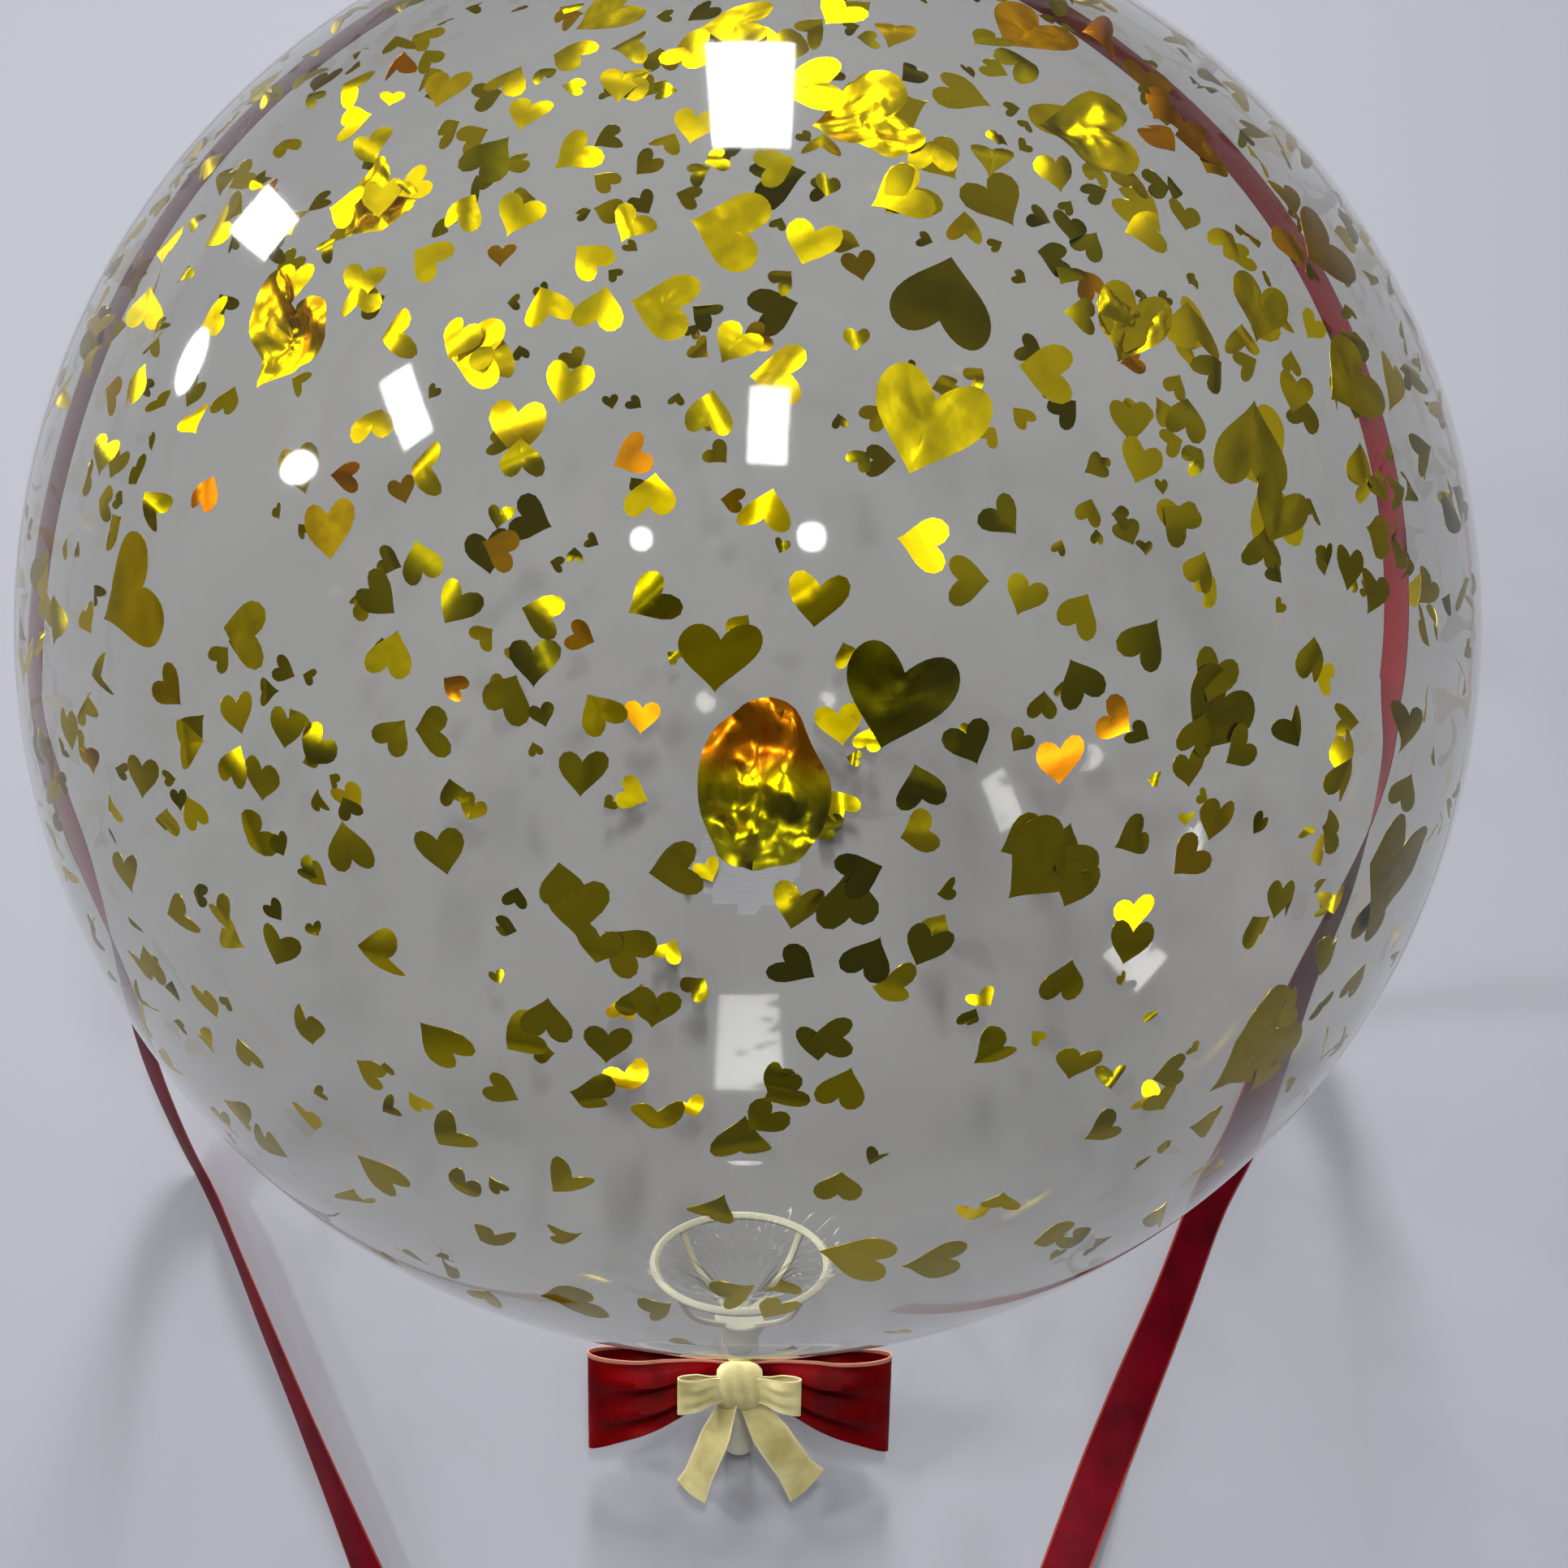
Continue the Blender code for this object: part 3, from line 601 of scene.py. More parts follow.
# Hearts that the photograph shows clearly: pixel of the middle, width in pixels, spin
# clockwise from upright and tip towards the heart's own point in degrees, and tone in hundredths.
# The tone is painted shade and painted light: dark for hearts that look dark, bright gold for
# those that catch a glint.
NEAR_HEARTS = (
    (1145, 520, 148, 28, 2, 34), (1108, 862, 142, 8, 1, 0), (1197, 918, 62, -30, 0, 0),
    (1135, 972, 64, 170, 0, 0), (655, 818, 66, 4, 0, 0), (385, 925, 60, 25, 0, 10),
    (716, 955, 64, 5, 0, 30), (540, 1052, 66, 0, 0, 40), (425, 1045, 70, 170, 4, 40),
    (316, 965, 62, 20, 8, 50), (1045, 1112, 82, 190, 0, 10), (1062, 1078, 62, 240, 0, 0),
    (980, 1195, 62, -60, 0, 0), (1072, 1182, 68, 190, 0, 0), (1143, 1168, 62, 10, 0, 10),
    (710, 1122, 84, 5, 0, 45), (768, 1172, 72, 150, 6, 50), (806, 1246, 64, 10, 0, 40),
    (672, 1258, 70, 185, 0, 40), (640, 1285, 62, 60, 0, 40), (748, 1290, 62, 0, 0, 30),
    (805, 1388, 66, 20, 14, 62), (915, 1412, 78, 200, 0, 20), (965, 1352, 60, 60, 0, 20),
    (1040, 1345, 66, 200, 8, 50), (1025, 1282, 60, 80, 0, 20), (1225, 1300, 60, 55, 0, 30),
    (1315, 1210, 66, 180, 0, 30), (1395, 1165, 66, 5, 0, 30), (1442, 1325, 56, 60, 0, 20),
    (1360, 1397, 56, 60, 0, 20), (695, 1460, 62, 60, 0, 40), (1035, 1466, 62, 190, 0, 30),
    (880, 1497, 62, 200, 0, 30), (540, 1290, 80, 150, 0, 40), (460, 1180, 70, 90, 8, 50),
    (341, 1170, 60, 30, 0, 30), (376, 1272, 56, 10, 0, 20), (830, 1075, 72, 80, 0, 40),
    (602, 188, 76, 200, 0, 0), (705, 185, 66, 30, 4, 40), (635, 262, 64, 15, 4, 40),
    (670, 370, 64, 170, 8, 50), (815, 372, 90, 100, 4, 40), (895, 272, 110, 100, 12, 50),
    (1000, 295, 70, 20, 4, 30), (875, 505, 62, 190, 0, 30), (697, 470, 62, 30, 0, 30),
    (580, 430, 90, 100, 12, 50), (632, 525, 80, 10, 8, 70), (800, 605, 66, 180, 16, 62),
    (945, 622, 68, 190, 26, 62), (955, 452, 78, 100, 20, 62), (905, 420, 60, 30, 10, 50),
    (1140, 668, 70, 100, 18, 62), (885, 812, 105, 5, 24, 62), (1292, 455, 78, 95, 4, 50),
    (1120, 235, 80, 60, 6, 40), (1455, 640, 60, 150, 0, 30), (1265, 735, 56, 20, 0, 30),
    (1335, 755, 60, 190, 6, 40), (1415, 790, 70, 200, 0, 10), (1502, 885, 120, 30, 0, 20),
    (1622, 812, 60, 190, 0, 30), (1598, 900, 52, 0, 0, 10), (1502, 1012, 60, 5, 0, 70),
    (1290, 1072, 128, 30, 4, 35), (1010, 740, 76, 10, 14, 62), (800, 740, 68, 60, 0, 10),
    (515, 690, 60, 170, 0, 20), (560, 745, 60, 10, 0, 10), (478, 805, 66, 190, 4, 40),
    (400, 652, 80, 10, 4, 80), (246, 605, 50, 190, 10, 100), (205, 850, 60, -40, 0, 80),
    (150, 738, 150, 60, 4, 70), (295, 780, 84, 100, 4, 60), (450, 512, 64, 170, 30, 62),
    (512, 570, 66, 100, 26, 62), (358, 575, 66, 5, 22, 62), (478, 405, 62, 100, 16, 62),
    (440, 345, 60, 10, 6, 40), (545, 105, 66, 5, 4, 70), (625, 92, 60, 200, 4, 50),
    (648, 135, 56, 20, 4, 50), (772, 92, 62, 80, 6, 50), (850, 55, 70, 60, 8, 50),
    (855, 150, 56, 10, 10, 50), (1000, 95, 90, 100, 10, 50), (570, 255, 56, 200, 0, 30),
    (525, 315, 62, 100, 4, 50), (260, 280, 60, 60, 8, 50), (1055, 1560, 104, 80, 8, 50),
    (160, 470, 60, 190, 4, 50), (305, 1035, 66, 60, 10, 50), (280, 945, 56, 190, 10, 50),
    (1580, 1110, 56, 10, 0, 30), (465, 1450, 80, 150, 0, 30), (553, 1405, 62, 60, 0, 30),
    (1322, 276, 48, 20, -6, 0), (1346, 296, 46, 200, -6, 5), (1300, 312, 48, 100, -6, 0),
    (1320, 332, 44, 60, -6, 5), (1334, 385, 50, 100, 0, 25), (1403, 391, 104, 20, 14, 62),
    (1479, 397, 84, 190, 10, 60), (1561, 378, 96, 10, 8, 60), (1397, 214, 56, 190, 10, 60),
    (1416, 278, 60, 100, 10, 60), (1498, 196, 52, 60, 6, 85), (1593, 240, 56, 10, 4, 80),
    (1440, 130, 70, 60, 4, 95), (1475, 168, 66, 100, 4, 95), (1420, 96, 70, 30, 4, 90),
    (1270, 30, 110, 60, 6, 90), (1104, 32, 52, 10, 8, 80), (1151, 183, 62, 190, 8, 50),
    (1110, 233, 84, 60, 8, 55), (1397, 517, 60, 10, 0, 30), (1467, 511, 60, 200, 0, 30),
    (1410, 568, 60, 10, 6, 55), (1353, 574, 36, 60, 0, 20), (1549, 545, 128, 185, 0, 45),
    (1580, 631, 92, 20, 0, 40), (1564, 672, 60, 190, 0, 30), (1605, 480, 56, 10, 8, 60),
    (1676, 467, 112, 70, 8, 62), (1728, 470, 80, 10, 8, 60), (1687, 568, 62, 190, 8, 60),
    (1454, 640, 58, 10, 0, 30), (1486, 700, 56, 190, 10, 60), (1668, 700, 60, 20, 0, 30),
    (1706, 656, 56, 100, 8, 60), (1637, 303, 110, 60, 4, 85), (1600, 300, 60, 10, 4, 90),
    (700, 60, 60, 100, 6, 50), (745, 8, 90, 60, 6, 55), (905, 20, 96, 100, 8, 60),
    (960, 48, 80, 10, 8, 60), (1035, 10, 60, 30, 6, 50), (430, 100, 60, 100, 4, 40),
    (465, 240, 56, 10, 8, 60), (418, 250, 60, 100, 8, 60), (505, 225, 56, 60, 6, 50),
    (440, 360, 58, 190, 6, 50), (605, 430, 60, 190, 8, 55), (560, 415, 60, 20, 8, 60),
    (640, 560, 56, 190, 0, 35), (120, 560, 56, 10, 0, 30), (105, 440, 50, 190, 0, 30),
    (255, 390, 60, 60, 8, 60), (355, 345, 60, 10, 8, 55), (1225, 190, 56, 10, 0, 30),
    (845, 60, 60, 190, 8, 55), (765, 95, 60, 10, 6, 50), (1045, 1110, 60, 150, 0, 10),
    (1010, 1290, 56, 10, 0, 15), (940, 1385, 60, 60, 0, 25), (960, 1340, 50, 10, 0, 15),
    (785, 1240, 58, 190, 0, 30), (735, 1170, 60, 10, 6, 45), (690, 1090, 60, 190, 0, 40),
    (1310, 1050, 80, 190, 0, 30), (1265, 1040, 70, 60, 0, 30), (1330, 1095, 66, 10, 0, 30),
    (1400, 1035, 56, 60, 0, 25), (1500, 835, 70, 10, 0, 35), (1480, 905, 60, 190, 0, 40),
    (1530, 925, 56, 60, 0, 30), (1470, 950, 54, 10, 6, 50), (1700, 730, 60, 10, 0, 30),
    (1660, 960, 60, 190, 0, 30), (1740, 900, 70, 10, 0, 15), (1700, 1130, 80, 190, 0, 10),
    (1640, 1180, 60, 10, 0, 25), (1590, 1250, 56, 60, 0, 30), (1560, 1330, 60, 10, 0, 30),
    (1490, 1390, 56, 60, 0, 30), (1300, 1530, 60, 60, 0, 30), (1150, 1560, 90, 80, 0, 25),
    (700, 1610, 90, 100, 0, 20), (600, 1530, 56, 60, 0, 20), (330, 1420, 60, 10, 0, 25),
    (380, 1500, 60, 60, 0, 25), (250, 1240, 54, 10, 8, 50), (180, 1190, 60, 190, 0, 30),
    (150, 1080, 60, 10, 0, 30), (215, 1130, 56, 60, 0, 30), (170, 960, 60, 20, 0, 40),
    (80, 900, 56, 10, 0, 35), (60, 760, 60, 190, 0, 30), (300, 1300, 50, 190, 0, 30),
)
# The same for hearts on the far wall; their tones too are painted shade and painted light.
FAR_HEARTS = (
    (1165, 365, 130, 165, 0, 10), (1340, 150, 130, 100, 6, 60), (1560, 560, 120, 10, 4, 50),
    (1575, 630, 100, 190, 0, 50), (1100, 130, 110, 100, 0, 40), (1410, 255, 80, 10, 0, 60),
    (1570, 380, 80, 190, 8, 60), (1480, 400, 70, 60, 8, 60), (1310, 940, 66, 10, 6, 100),
    (1380, 890, 60, 60, 6, 95), (790, 885, 46, 10, 0, 90), (715, 785, 40, 60, 0, 90),
    (600, 680, 60, 10, 0, 0), (655, 640, 60, 60, 0, 0), (425, 985, 44, 10, 20, 70),
    (1035, 895, 60, 10, 10, 50), (1190, 110, 80, 60, 0, 40), (1230, 245, 84, 10, 0, 20),
    (1160, 195, 70, 10, 0, 50), (1660, 930, 60, 10, 0, 50), (1400, 1130, 60, 10, 8, 70),
    (1210, 1500, 50, 60, 8, 60), (770, 1340, 60, 10, 14, 70), (850, 1370, 40, 10, 8, 70),
    (1060, 325, 44, 10, 8, 80), (955, 380, 66, 100, 0, 10), (960, 215, 76, 100, 0, 0),
    (780, 980, 44, 60, 0, 40), (290, 880, 56, 10, 0, 50), (235, 1000, 50, 190, 0, 40),
)
# The same with a lower and an upper tone and the depth of the creases in metres. Where the two
# tones differ, the change from bottom to top is painted shade and painted light. The first is
# crushed into an oval, its dark olive bottom painted shade and its orange top a painted
# reflection of red.
CRUMPLED_FOILS = (
    (938, 985, 232, 0, -30, (0, 100), 0.007), (1068, 130, 140, 80, 10, (62, 62), 0.003),
    (332, 405, 150, 30, 12, (62, 85), 0.0036), (448, 242, 118, 40, 10, (62, 62), 0.003),
    (1550, 1300, 170, 40, 0, (25, 25), 0.002), (1720, 1085, 170, 10, 0, (10, 10), 0.002),
    (1345, 150, 140, 100, 6, (30, 62), 0.0022), (1403, 395, 104, 20, 14, (62, 62), 0.0026),
)
FILL_SEED = 7
FILL_TRIES = 6500
FILL_COUNT = 600
FILL_SPACING = 0.8
PLACED_SEED = 11
LARGE_FROM_PIXELS = 84
SPECK_SHARE = 0.36
SPECK_SIZE = 0.0062
SPECK_TINT = 0.1
ORANGE_SHARE = 0.08
ORANGE_FROM_TINT = 0.75
GOLD_TO_TINT = 0.62
FILL_LEAN = 0.16
FILL_LOWEST = -0.88


def pixel_size(centre, pixels):
    return pixels * (centre - EYE).length / FOCAL_PIXELS


def place_hearts(foils, rows, wall):
    """Foils at their pixels, each curled its own way, and the large ones a little crumpled."""
    rng = random.Random(PLACED_SEED)
    plain, fine = heart_outlines(HEART_POINTS), heart_outlines(HEART_POINTS * 2)
    for x, y, pixels, spin, lean, tint in rows:
        centre = on_film(x, y, wall)
        large = pixels > LARGE_FROM_PIXELS
        foils.add(centre, pixel_size(centre, pixels), radians(spin + rng.gauss(0, 8)),
                  (radians(lean), rng.gauss(0, 0.05)), (tint / 100, tint / 100),
                  rng.choice(fine if large else plain), rings=6 if large else 3,
                  crumple=0.0005 if large else 0.0,
                  curl=rng.uniform(-0.1, 0.1 if large else 0.9), seed=rng.uniform(0, tau))


def fill_hearts(foils):
    """Scatters more small hearts over the rest of the film, thinner near the neck."""
    rng = random.Random(FILL_SEED)
    outlines = heart_outlines(HEART_POINTS)
    added = 0
    for _ in range(FILL_TRIES):
        out = Vector([rng.gauss(0, 1) for _ in range(3)]).normalized()
        speck = rng.random() < SPECK_SHARE
        size = SPECK_SIZE if speck else SMALL_HEART * rng.uniform(0.8, 1.08)
        orange = rng.random() < ORANGE_SHARE
        tint = rng.uniform(ORANGE_FROM_TINT, 1.0) if orange else rng.random() * GOLD_TO_TINT
        spin, lean = rng.uniform(0, tau), (rng.gauss(0, FILL_LEAN), rng.gauss(0, FILL_LEAN))
        keep, curl, way = rng.random(), rng.uniform(-0.2, 1.1), rng.uniform(0, tau)
        if speck:
            tint = SPECK_TINT
        height = out.dot(CROWN)
        if height < FILL_LOWEST or keep > 0.6 + 0.45 * height:
            continue
        if added < FILL_COUNT and foils.clear_of(out, size, FILL_SPACING):
            foils.add(CENTRE + out * BALLOON_RADIUS, size, spin, lean,
                      (tint, tint), rng.choice(outlines), curl=curl, seed=way)
            added += 1


def foil_hearts(look):
    small, crumpled = Foils(), Foils()
    place_hearts(small, NEAR_HEARTS, "near")
    place_hearts(small, FAR_HEARTS, "far")
    hearts = heart_outlines(HEART_POINTS * 2)
    for i, (x, y, pixels, spin, lean, tints, depth) in enumerate(CRUMPLED_FOILS):
        centre = on_film(x, y, "near")
        outline = hearts[i % len(hearts)] if i else blob_outline(HEART_POINTS * 2)
        crumpled.add(centre, pixel_size(centre, pixels), radians(spin),
                     (radians(lean), 0.0), [tint / 100 for tint in tints], outline,
                     rings=12, crumple=depth, seed=i)
    scattered = Foils()
    scattered.places = small.places + crumpled.places
    fill_hearts(scattered)
    finish_piece(small.body("foil_hearts"), look, "gold_foil")
    finish_piece(scattered.body("scattered_hearts"), look, "gold_foil")
    finish_piece(crumpled.body("crumpled_foils"), look, "gold_foil")


# Draped ribbon

RIBBON_WIDTH = 0.016
RIBBON_THICKNESS = 0.0003
RIBBON_LIFT = 0.0007
RIBBON_CROWN = 0.0005
RIBBON_STEPS_ACROSS = 8

# How far round from the right over the crown to the left, and how far behind, in degrees
RIBBON_ON_BALLOON = (
    (-9.0, 13.0), (5.0, 17.0), (25.0, 22.0), (55.0, 26.0), (90.0, 22.5),
    (130.0, 17.5), (160.0, 10.5), (175.0, 4.0), (185.0, -2.5),
)
# The free ends down and along the floor, as shares of the balloon's radius, with outer faces
RIBBON_RIGHT_END = (
    ((0.974, -0.019, 0.638), (1.0, -0.05, -0.1)),
    ((0.981, -0.057, 0.514), (1.0, -0.25, 0.0)),
    ((0.981, -0.095, 0.367), (0.9, -0.5, 0.05)),
    ((0.967, -0.148, 0.224), (0.7, -0.7, 0.2)),
    ((0.936, -0.224, 0.1), (0.6, -0.7, 0.4)),
    ((0.89, -0.343, 0.019), (0.5, -0.45, 0.75)),
    ((0.833, -0.476, 0.0), (0.52, -0.22, 0.82)),
    ((0.771, -0.59, 0.0), (0.52, -0.15, 0.84)),
    ((0.705, -0.748, 0.0), (0.45, -0.1, 0.88)),
    ((0.629, -0.919, 0.0), (0.2, -0.05, 0.97)),
    ((0.538, -1.133, 0.0), (-0.3, -0.1, 0.95)),
    ((0.457, -1.333, 0.0), (-0.4, -0.1, 0.9)),
    ((0.414, -1.476, 0.0), (-0.1, 0.0, 1.0)),
)
RIBBON_LEFT_END = (
    ((-1.005, -0.138, 0.871), (-1.0, -0.05, 0.0)),
    ((-0.995, -0.19, 0.748), (-1.0, -0.1, 0.0)),
    ((-0.986, -0.233, 0.614), (-0.98, -0.17, 0.02)),
    ((-0.976, -0.286, 0.471), (-0.92, -0.38, 0.05)),
    ((-0.967, -0.35, 0.329), (-0.8, -0.58, 0.08)),
    ((-0.95, -0.433, 0.186), (-0.74, -0.66, 0.1)),
    ((-0.914, -0.521, 0.076), (-0.74, -0.65, 0.14)),
    ((-0.857, -0.624, 0.0), (-0.76, -0.6, 0.22)),
    ((-0.781, -0.781, 0.0), (-0.78, -0.52, 0.3)),
    ((-0.686, -0.976, 0.0), (-0.78, -0.44, 0.4)),
    ((-0.586, -1.181, 0.0), (-0.68, -0.32, 0.62)),
    ((-0.514, -1.338, 0.0), (-0.4, -0.18, 0.88)),
    ((-0.457, -1.476, 0.0), (-0.05, 0.0, 1.0)),
)


def on_balloon(angles):
    around, behind = (radians(angle) for angle in angles)
    out = Vector((cos(around) * cos(behind), sin(behind),
                  sin(around) * cos(behind)))
    return LEANING @ (out * (BALLOON_RADIUS + RIBBON_LIFT)), LEANING.to_3x3() @ out


def free_run(places, steps):
    return list(zip(through([p for p, _ in places], steps), through([n for _, n in places], steps)))


def ribbon_route():
    draped = [on_balloon(pair) for pair in through([Vector(a) for a in RIBBON_ON_BALLOON], 24)]
    right = [(Vector(p) * BALLOON_RADIUS, Vector(n)) for p, n in reversed(RIBBON_RIGHT_END)]
    left = [(Vector(p) * BALLOON_RADIUS, Vector(n)) for p, n in RIBBON_LEFT_END]
    return free_run([*right, draped[0]], 10)[:-1] + draped + free_run([draped[-1], *left], 10)[1:]


def red_ribbon(look):
    route = ribbon_route()
    rows, length = [], 0.0
    for i, (point, face) in enumerate(route):
        before, after = route[max(i - 1, 0)][0], route[min(i + 1, len(route) - 1)][0]
        face = face.normalized()
        across = (after - before).cross(face).normalized()
        face = across.cross(after - before).normalized()
        half = RIBBON_WIDTH / 2
        lift = max(0.0, abs(across.z) * half + RIBBON_THICKNESS * 0.7 - point.z)
        middle = point + Vector((0.0, 0.0, lift))
        row = []
        for j in range(RIBBON_STEPS_ACROSS + 1):
            s = 2.0 * j / RIBBON_STEPS_ACROSS - 1.0
            row.append(middle + across * half * s + face * RIBBON_CROWN * (1.0 - s * s))
        rows.append(row)
        length += (point - route[i - 1][0]).length if i else 0.0
    body = ribbon_mesh("red_satin_ribbon", rows, RIBBON_THICKNESS)
    finish_piece(body, look, "red_satin", "red_ribbon")


# Holder cup

CUP_RADIUS = 0.0283
RIM_DROP = 0.21934
RIM_THICKNESS = 0.0028
HUB_TOP_DROP = 0.23934
HUB_BOTTOM_DROP = 0.24884
HUB_RADIUS = 0.0085
SPIGOT_RADIUS = 0.005
SPIGOT_BORE = 0.0034
SPIGOT_BORE_DEPTH = 0.02
CUP_RIBS = 4
RIB_WIDTH = 0.0024
RIB_THICKNESS = 0.0018
RIB_ROUNDING = 0.6
RIB_SECTION = 12
RIM_SECTION = 20
RIM_SEGMENTS = 96
HUB_LIP = 0.0009
SPIGOT_WAIST = SPIGOT_RADIUS - 0.0002
GRIP_RINGS = 3
GRIP_START = 0.012
GRIP_PITCH = 0.009
GRIP_HEIGHT = 0.0004
GRIP_BULGE = ((-0.001, 0.0), (-0.0005, 0.8), (0.0, 1.0), (0.0005, 0.8), (0.001, 0.0))
CUP_CREASE = radians(40.0)
WELD_DISTANCE = 0.00002


def cup_rim():
    """The rim's rounded section, turned about the axis, with a thin bead on its outer side."""
    points, faces, section = [], [], []
    for i in range(RIM_SECTION):
        turn = tau * i / RIM_SECTION
        thick = RIM_THICKNESS / 2 * (1.0 + 0.1 * cos(4 * turn))
        section.append((CUP_RADIUS + thick * cos(turn), -RIM_DROP + thick * sin(turn)))
    for s in range(RIM_SEGMENTS):
        turn = tau * s / RIM_SEGMENTS
        points += [(r * cos(turn), r * sin(turn), z) for r, z in section]
        a, b = s * RIM_SECTION, (s + 1) % RIM_SEGMENTS * RIM_SECTION
        for i in range(RIM_SECTION):
            k = (i + 1) % RIM_SECTION
            faces.append((a + i, b + i, b + k, a + k))
    return points, faces


def rounded(turn):
    """A point on a square with well rounded corners, one across its half."""
    across, deep = cos(turn), sin(turn)
    return (copysign(abs(across) ** RIB_ROUNDING, across),
            copysign(abs(deep) ** RIB_ROUNDING, deep))


def cup_rib(turn):
    """One rib, bowed outwards a little and thinner towards the hub."""
    start = Vector((CUP_RADIUS, 0.0, -RIM_DROP))
    bend = Vector((CUP_RADIUS * 0.74, 0.0, -RIM_DROP - (HUB_TOP_DROP - RIM_DROP) * 0.58))
    end = Vector((HUB_RADIUS * 0.7, 0.0, -HUB_TOP_DROP - 0.0015))
    line = through([start, bend, end], 8)
    points, faces = [], []
    for i, p in enumerate(line):
        way = (line[min(i + 1, len(line) - 1)] - line[max(i - 1, 0)]).normalized()
        out = Vector((0.0, 1.0, 0.0)).cross(way)
        width = RIB_WIDTH / 2 * (1.08 - 0.16 * i / len(line))
        for k in range(RIB_SECTION):
            across, deep = rounded(tau * k / RIB_SECTION)
            corner = p + Vector((0.0, across * width, 0.0)) + out * (deep * RIB_THICKNESS / 2)
            points.append(Matrix.Rotation(turn, 3, "Z") @ corner)
    last = (len(line) - 1) * RIB_SECTION
    for row in range(0, last, RIB_SECTION):
        for k in range(RIB_SECTION):
            n = (k + 1) % RIB_SECTION
            faces.append((row + k, row + n, row + RIB_SECTION + n, row + RIB_SECTION + k))
    faces += [tuple(range(RIB_SECTION - 1, -1, -1)), tuple(range(last, last + RIB_SECTION))]
    return points, faces


def cup_hub():
    """The hub with its rounded lip, and the hollow spigot with its gripping rings below it."""
    profile = [(0.0, -HUB_TOP_DROP + 0.0004), (HUB_RADIUS * 0.55, -HUB_TOP_DROP + 0.0002)]
    for i in range(7):
        turn = pi / 2 * i / 6
        profile.append((HUB_RADIUS - HUB_LIP + HUB_LIP * sin(turn),
                        -HUB_TOP_DROP - HUB_LIP + HUB_LIP * cos(turn)))
    profile += [(HUB_RADIUS, -HUB_TOP_DROP - 0.003), (SPIGOT_RADIUS + 0.0004, -HUB_BOTTOM_DROP)]
    for ring in range(GRIP_RINGS):
        drop = HUB_BOTTOM_DROP + GRIP_START + ring * GRIP_PITCH
        for shift, bulge in GRIP_BULGE:
            profile.append((SPIGOT_WAIST + GRIP_HEIGHT * bulge, -drop - shift))
    bore_top = -SPIGOT_END_DROP + SPIGOT_BORE_DEPTH
    profile += [(SPIGOT_WAIST, -SPIGOT_END_DROP + 0.0008),
                (SPIGOT_RADIUS - 0.0009, -SPIGOT_END_DROP),
                (SPIGOT_BORE, -SPIGOT_END_DROP), (SPIGOT_BORE, bore_top), (0.0, bore_top)]
    return lathe(profile, 48)


def holder_cup(look):
    parts = [cup_hub(), cup_rim()]
    parts += [cup_rib(tau * (i + 0.5) / CUP_RIBS) for i in range(CUP_RIBS)]
    solids = [add_mesh(f"cup_{i}", points, faces) for i, (points, faces) in enumerate(parts)]
    for solid in solids:
        tidy_normals(solid)
    body = solids[0]
    for other in solids[1:]:
        union = body.modifiers.new(other.name, "BOOLEAN")
        union.operation, union.solver, union.object = "UNION", "EXACT", other
    mesh = bpy.data.meshes.new_from_object(body.evaluated_get(bpy.context.evaluated_depsgraph_get()))
    for solid in solids:
        bpy.data.objects.remove(solid)
    weld(mesh)
    mesh.transform(LEANING)
    cup = link_smooth("ivory_holder_cup", mesh, CUP_CREASE)
    return finish_piece(cup, look, "white_plastic", "holder_cup")


def weld(mesh):
    """Closes the hairline seams that a union leaves."""
    shape = bmesh.new()
    shape.from_mesh(mesh)
    bmesh.ops.remove_doubles(shape, verts=shape.verts, dist=WELD_DISTANCE)
    bmesh.ops.dissolve_degenerate(shape, edges=shape.edges, dist=WELD_DISTANCE)
    bmesh.ops.triangulate(shape, faces=shape.faces)
    bmesh.ops.remove_doubles(shape, verts=shape.verts, dist=WELD_DISTANCE)
    shape.to_mesh(mesh)
    shape.free()


def tidy_normals(body):
    shape = bmesh.new()
    shape.from_mesh(body.data)
    bmesh.ops.recalc_face_normals(shape, faces=shape.faces)
    shape.to_mesh(body.data)
    shape.free()


# Bows

BOW_CLOTH = 0.0004
KNOT_SIZE = Vector((0.015, 0.008, 0.019))
BOW_FRONT = 0.0067
KNOT_FRONT = 0.0124
PINCH_TOP_DROP = 0.25284
KNOT_DROP = 0.25874
TIE_DROP = 0.25084
PINCH_HALF_DEPTH = 0.0009
CLEARANCE = 0.0004


RED_LOOPS = dict(half_length=0.0498, depth=0.017, front=BOW_FRONT, forward=0.0, top=-PINCH_TOP_DROP,
                 bottom=-PINCH_TOP_DROP - 0.0135, rise=0.003, droop=0.0215, fold=0.0034,
                 steps=160, wide=16)
GOLD_LOOPS = dict(half_length=0.02, depth=0.007, front=KNOT_FRONT, forward=0.006,
                  top=0.004 - KNOT_DROP, bottom=-0.004 - KNOT_DROP, rise=0.003, droop=0.003,
                  fold=0.001, steps=96, wide=10)
LOOPS_FULL_FROM = 0.72


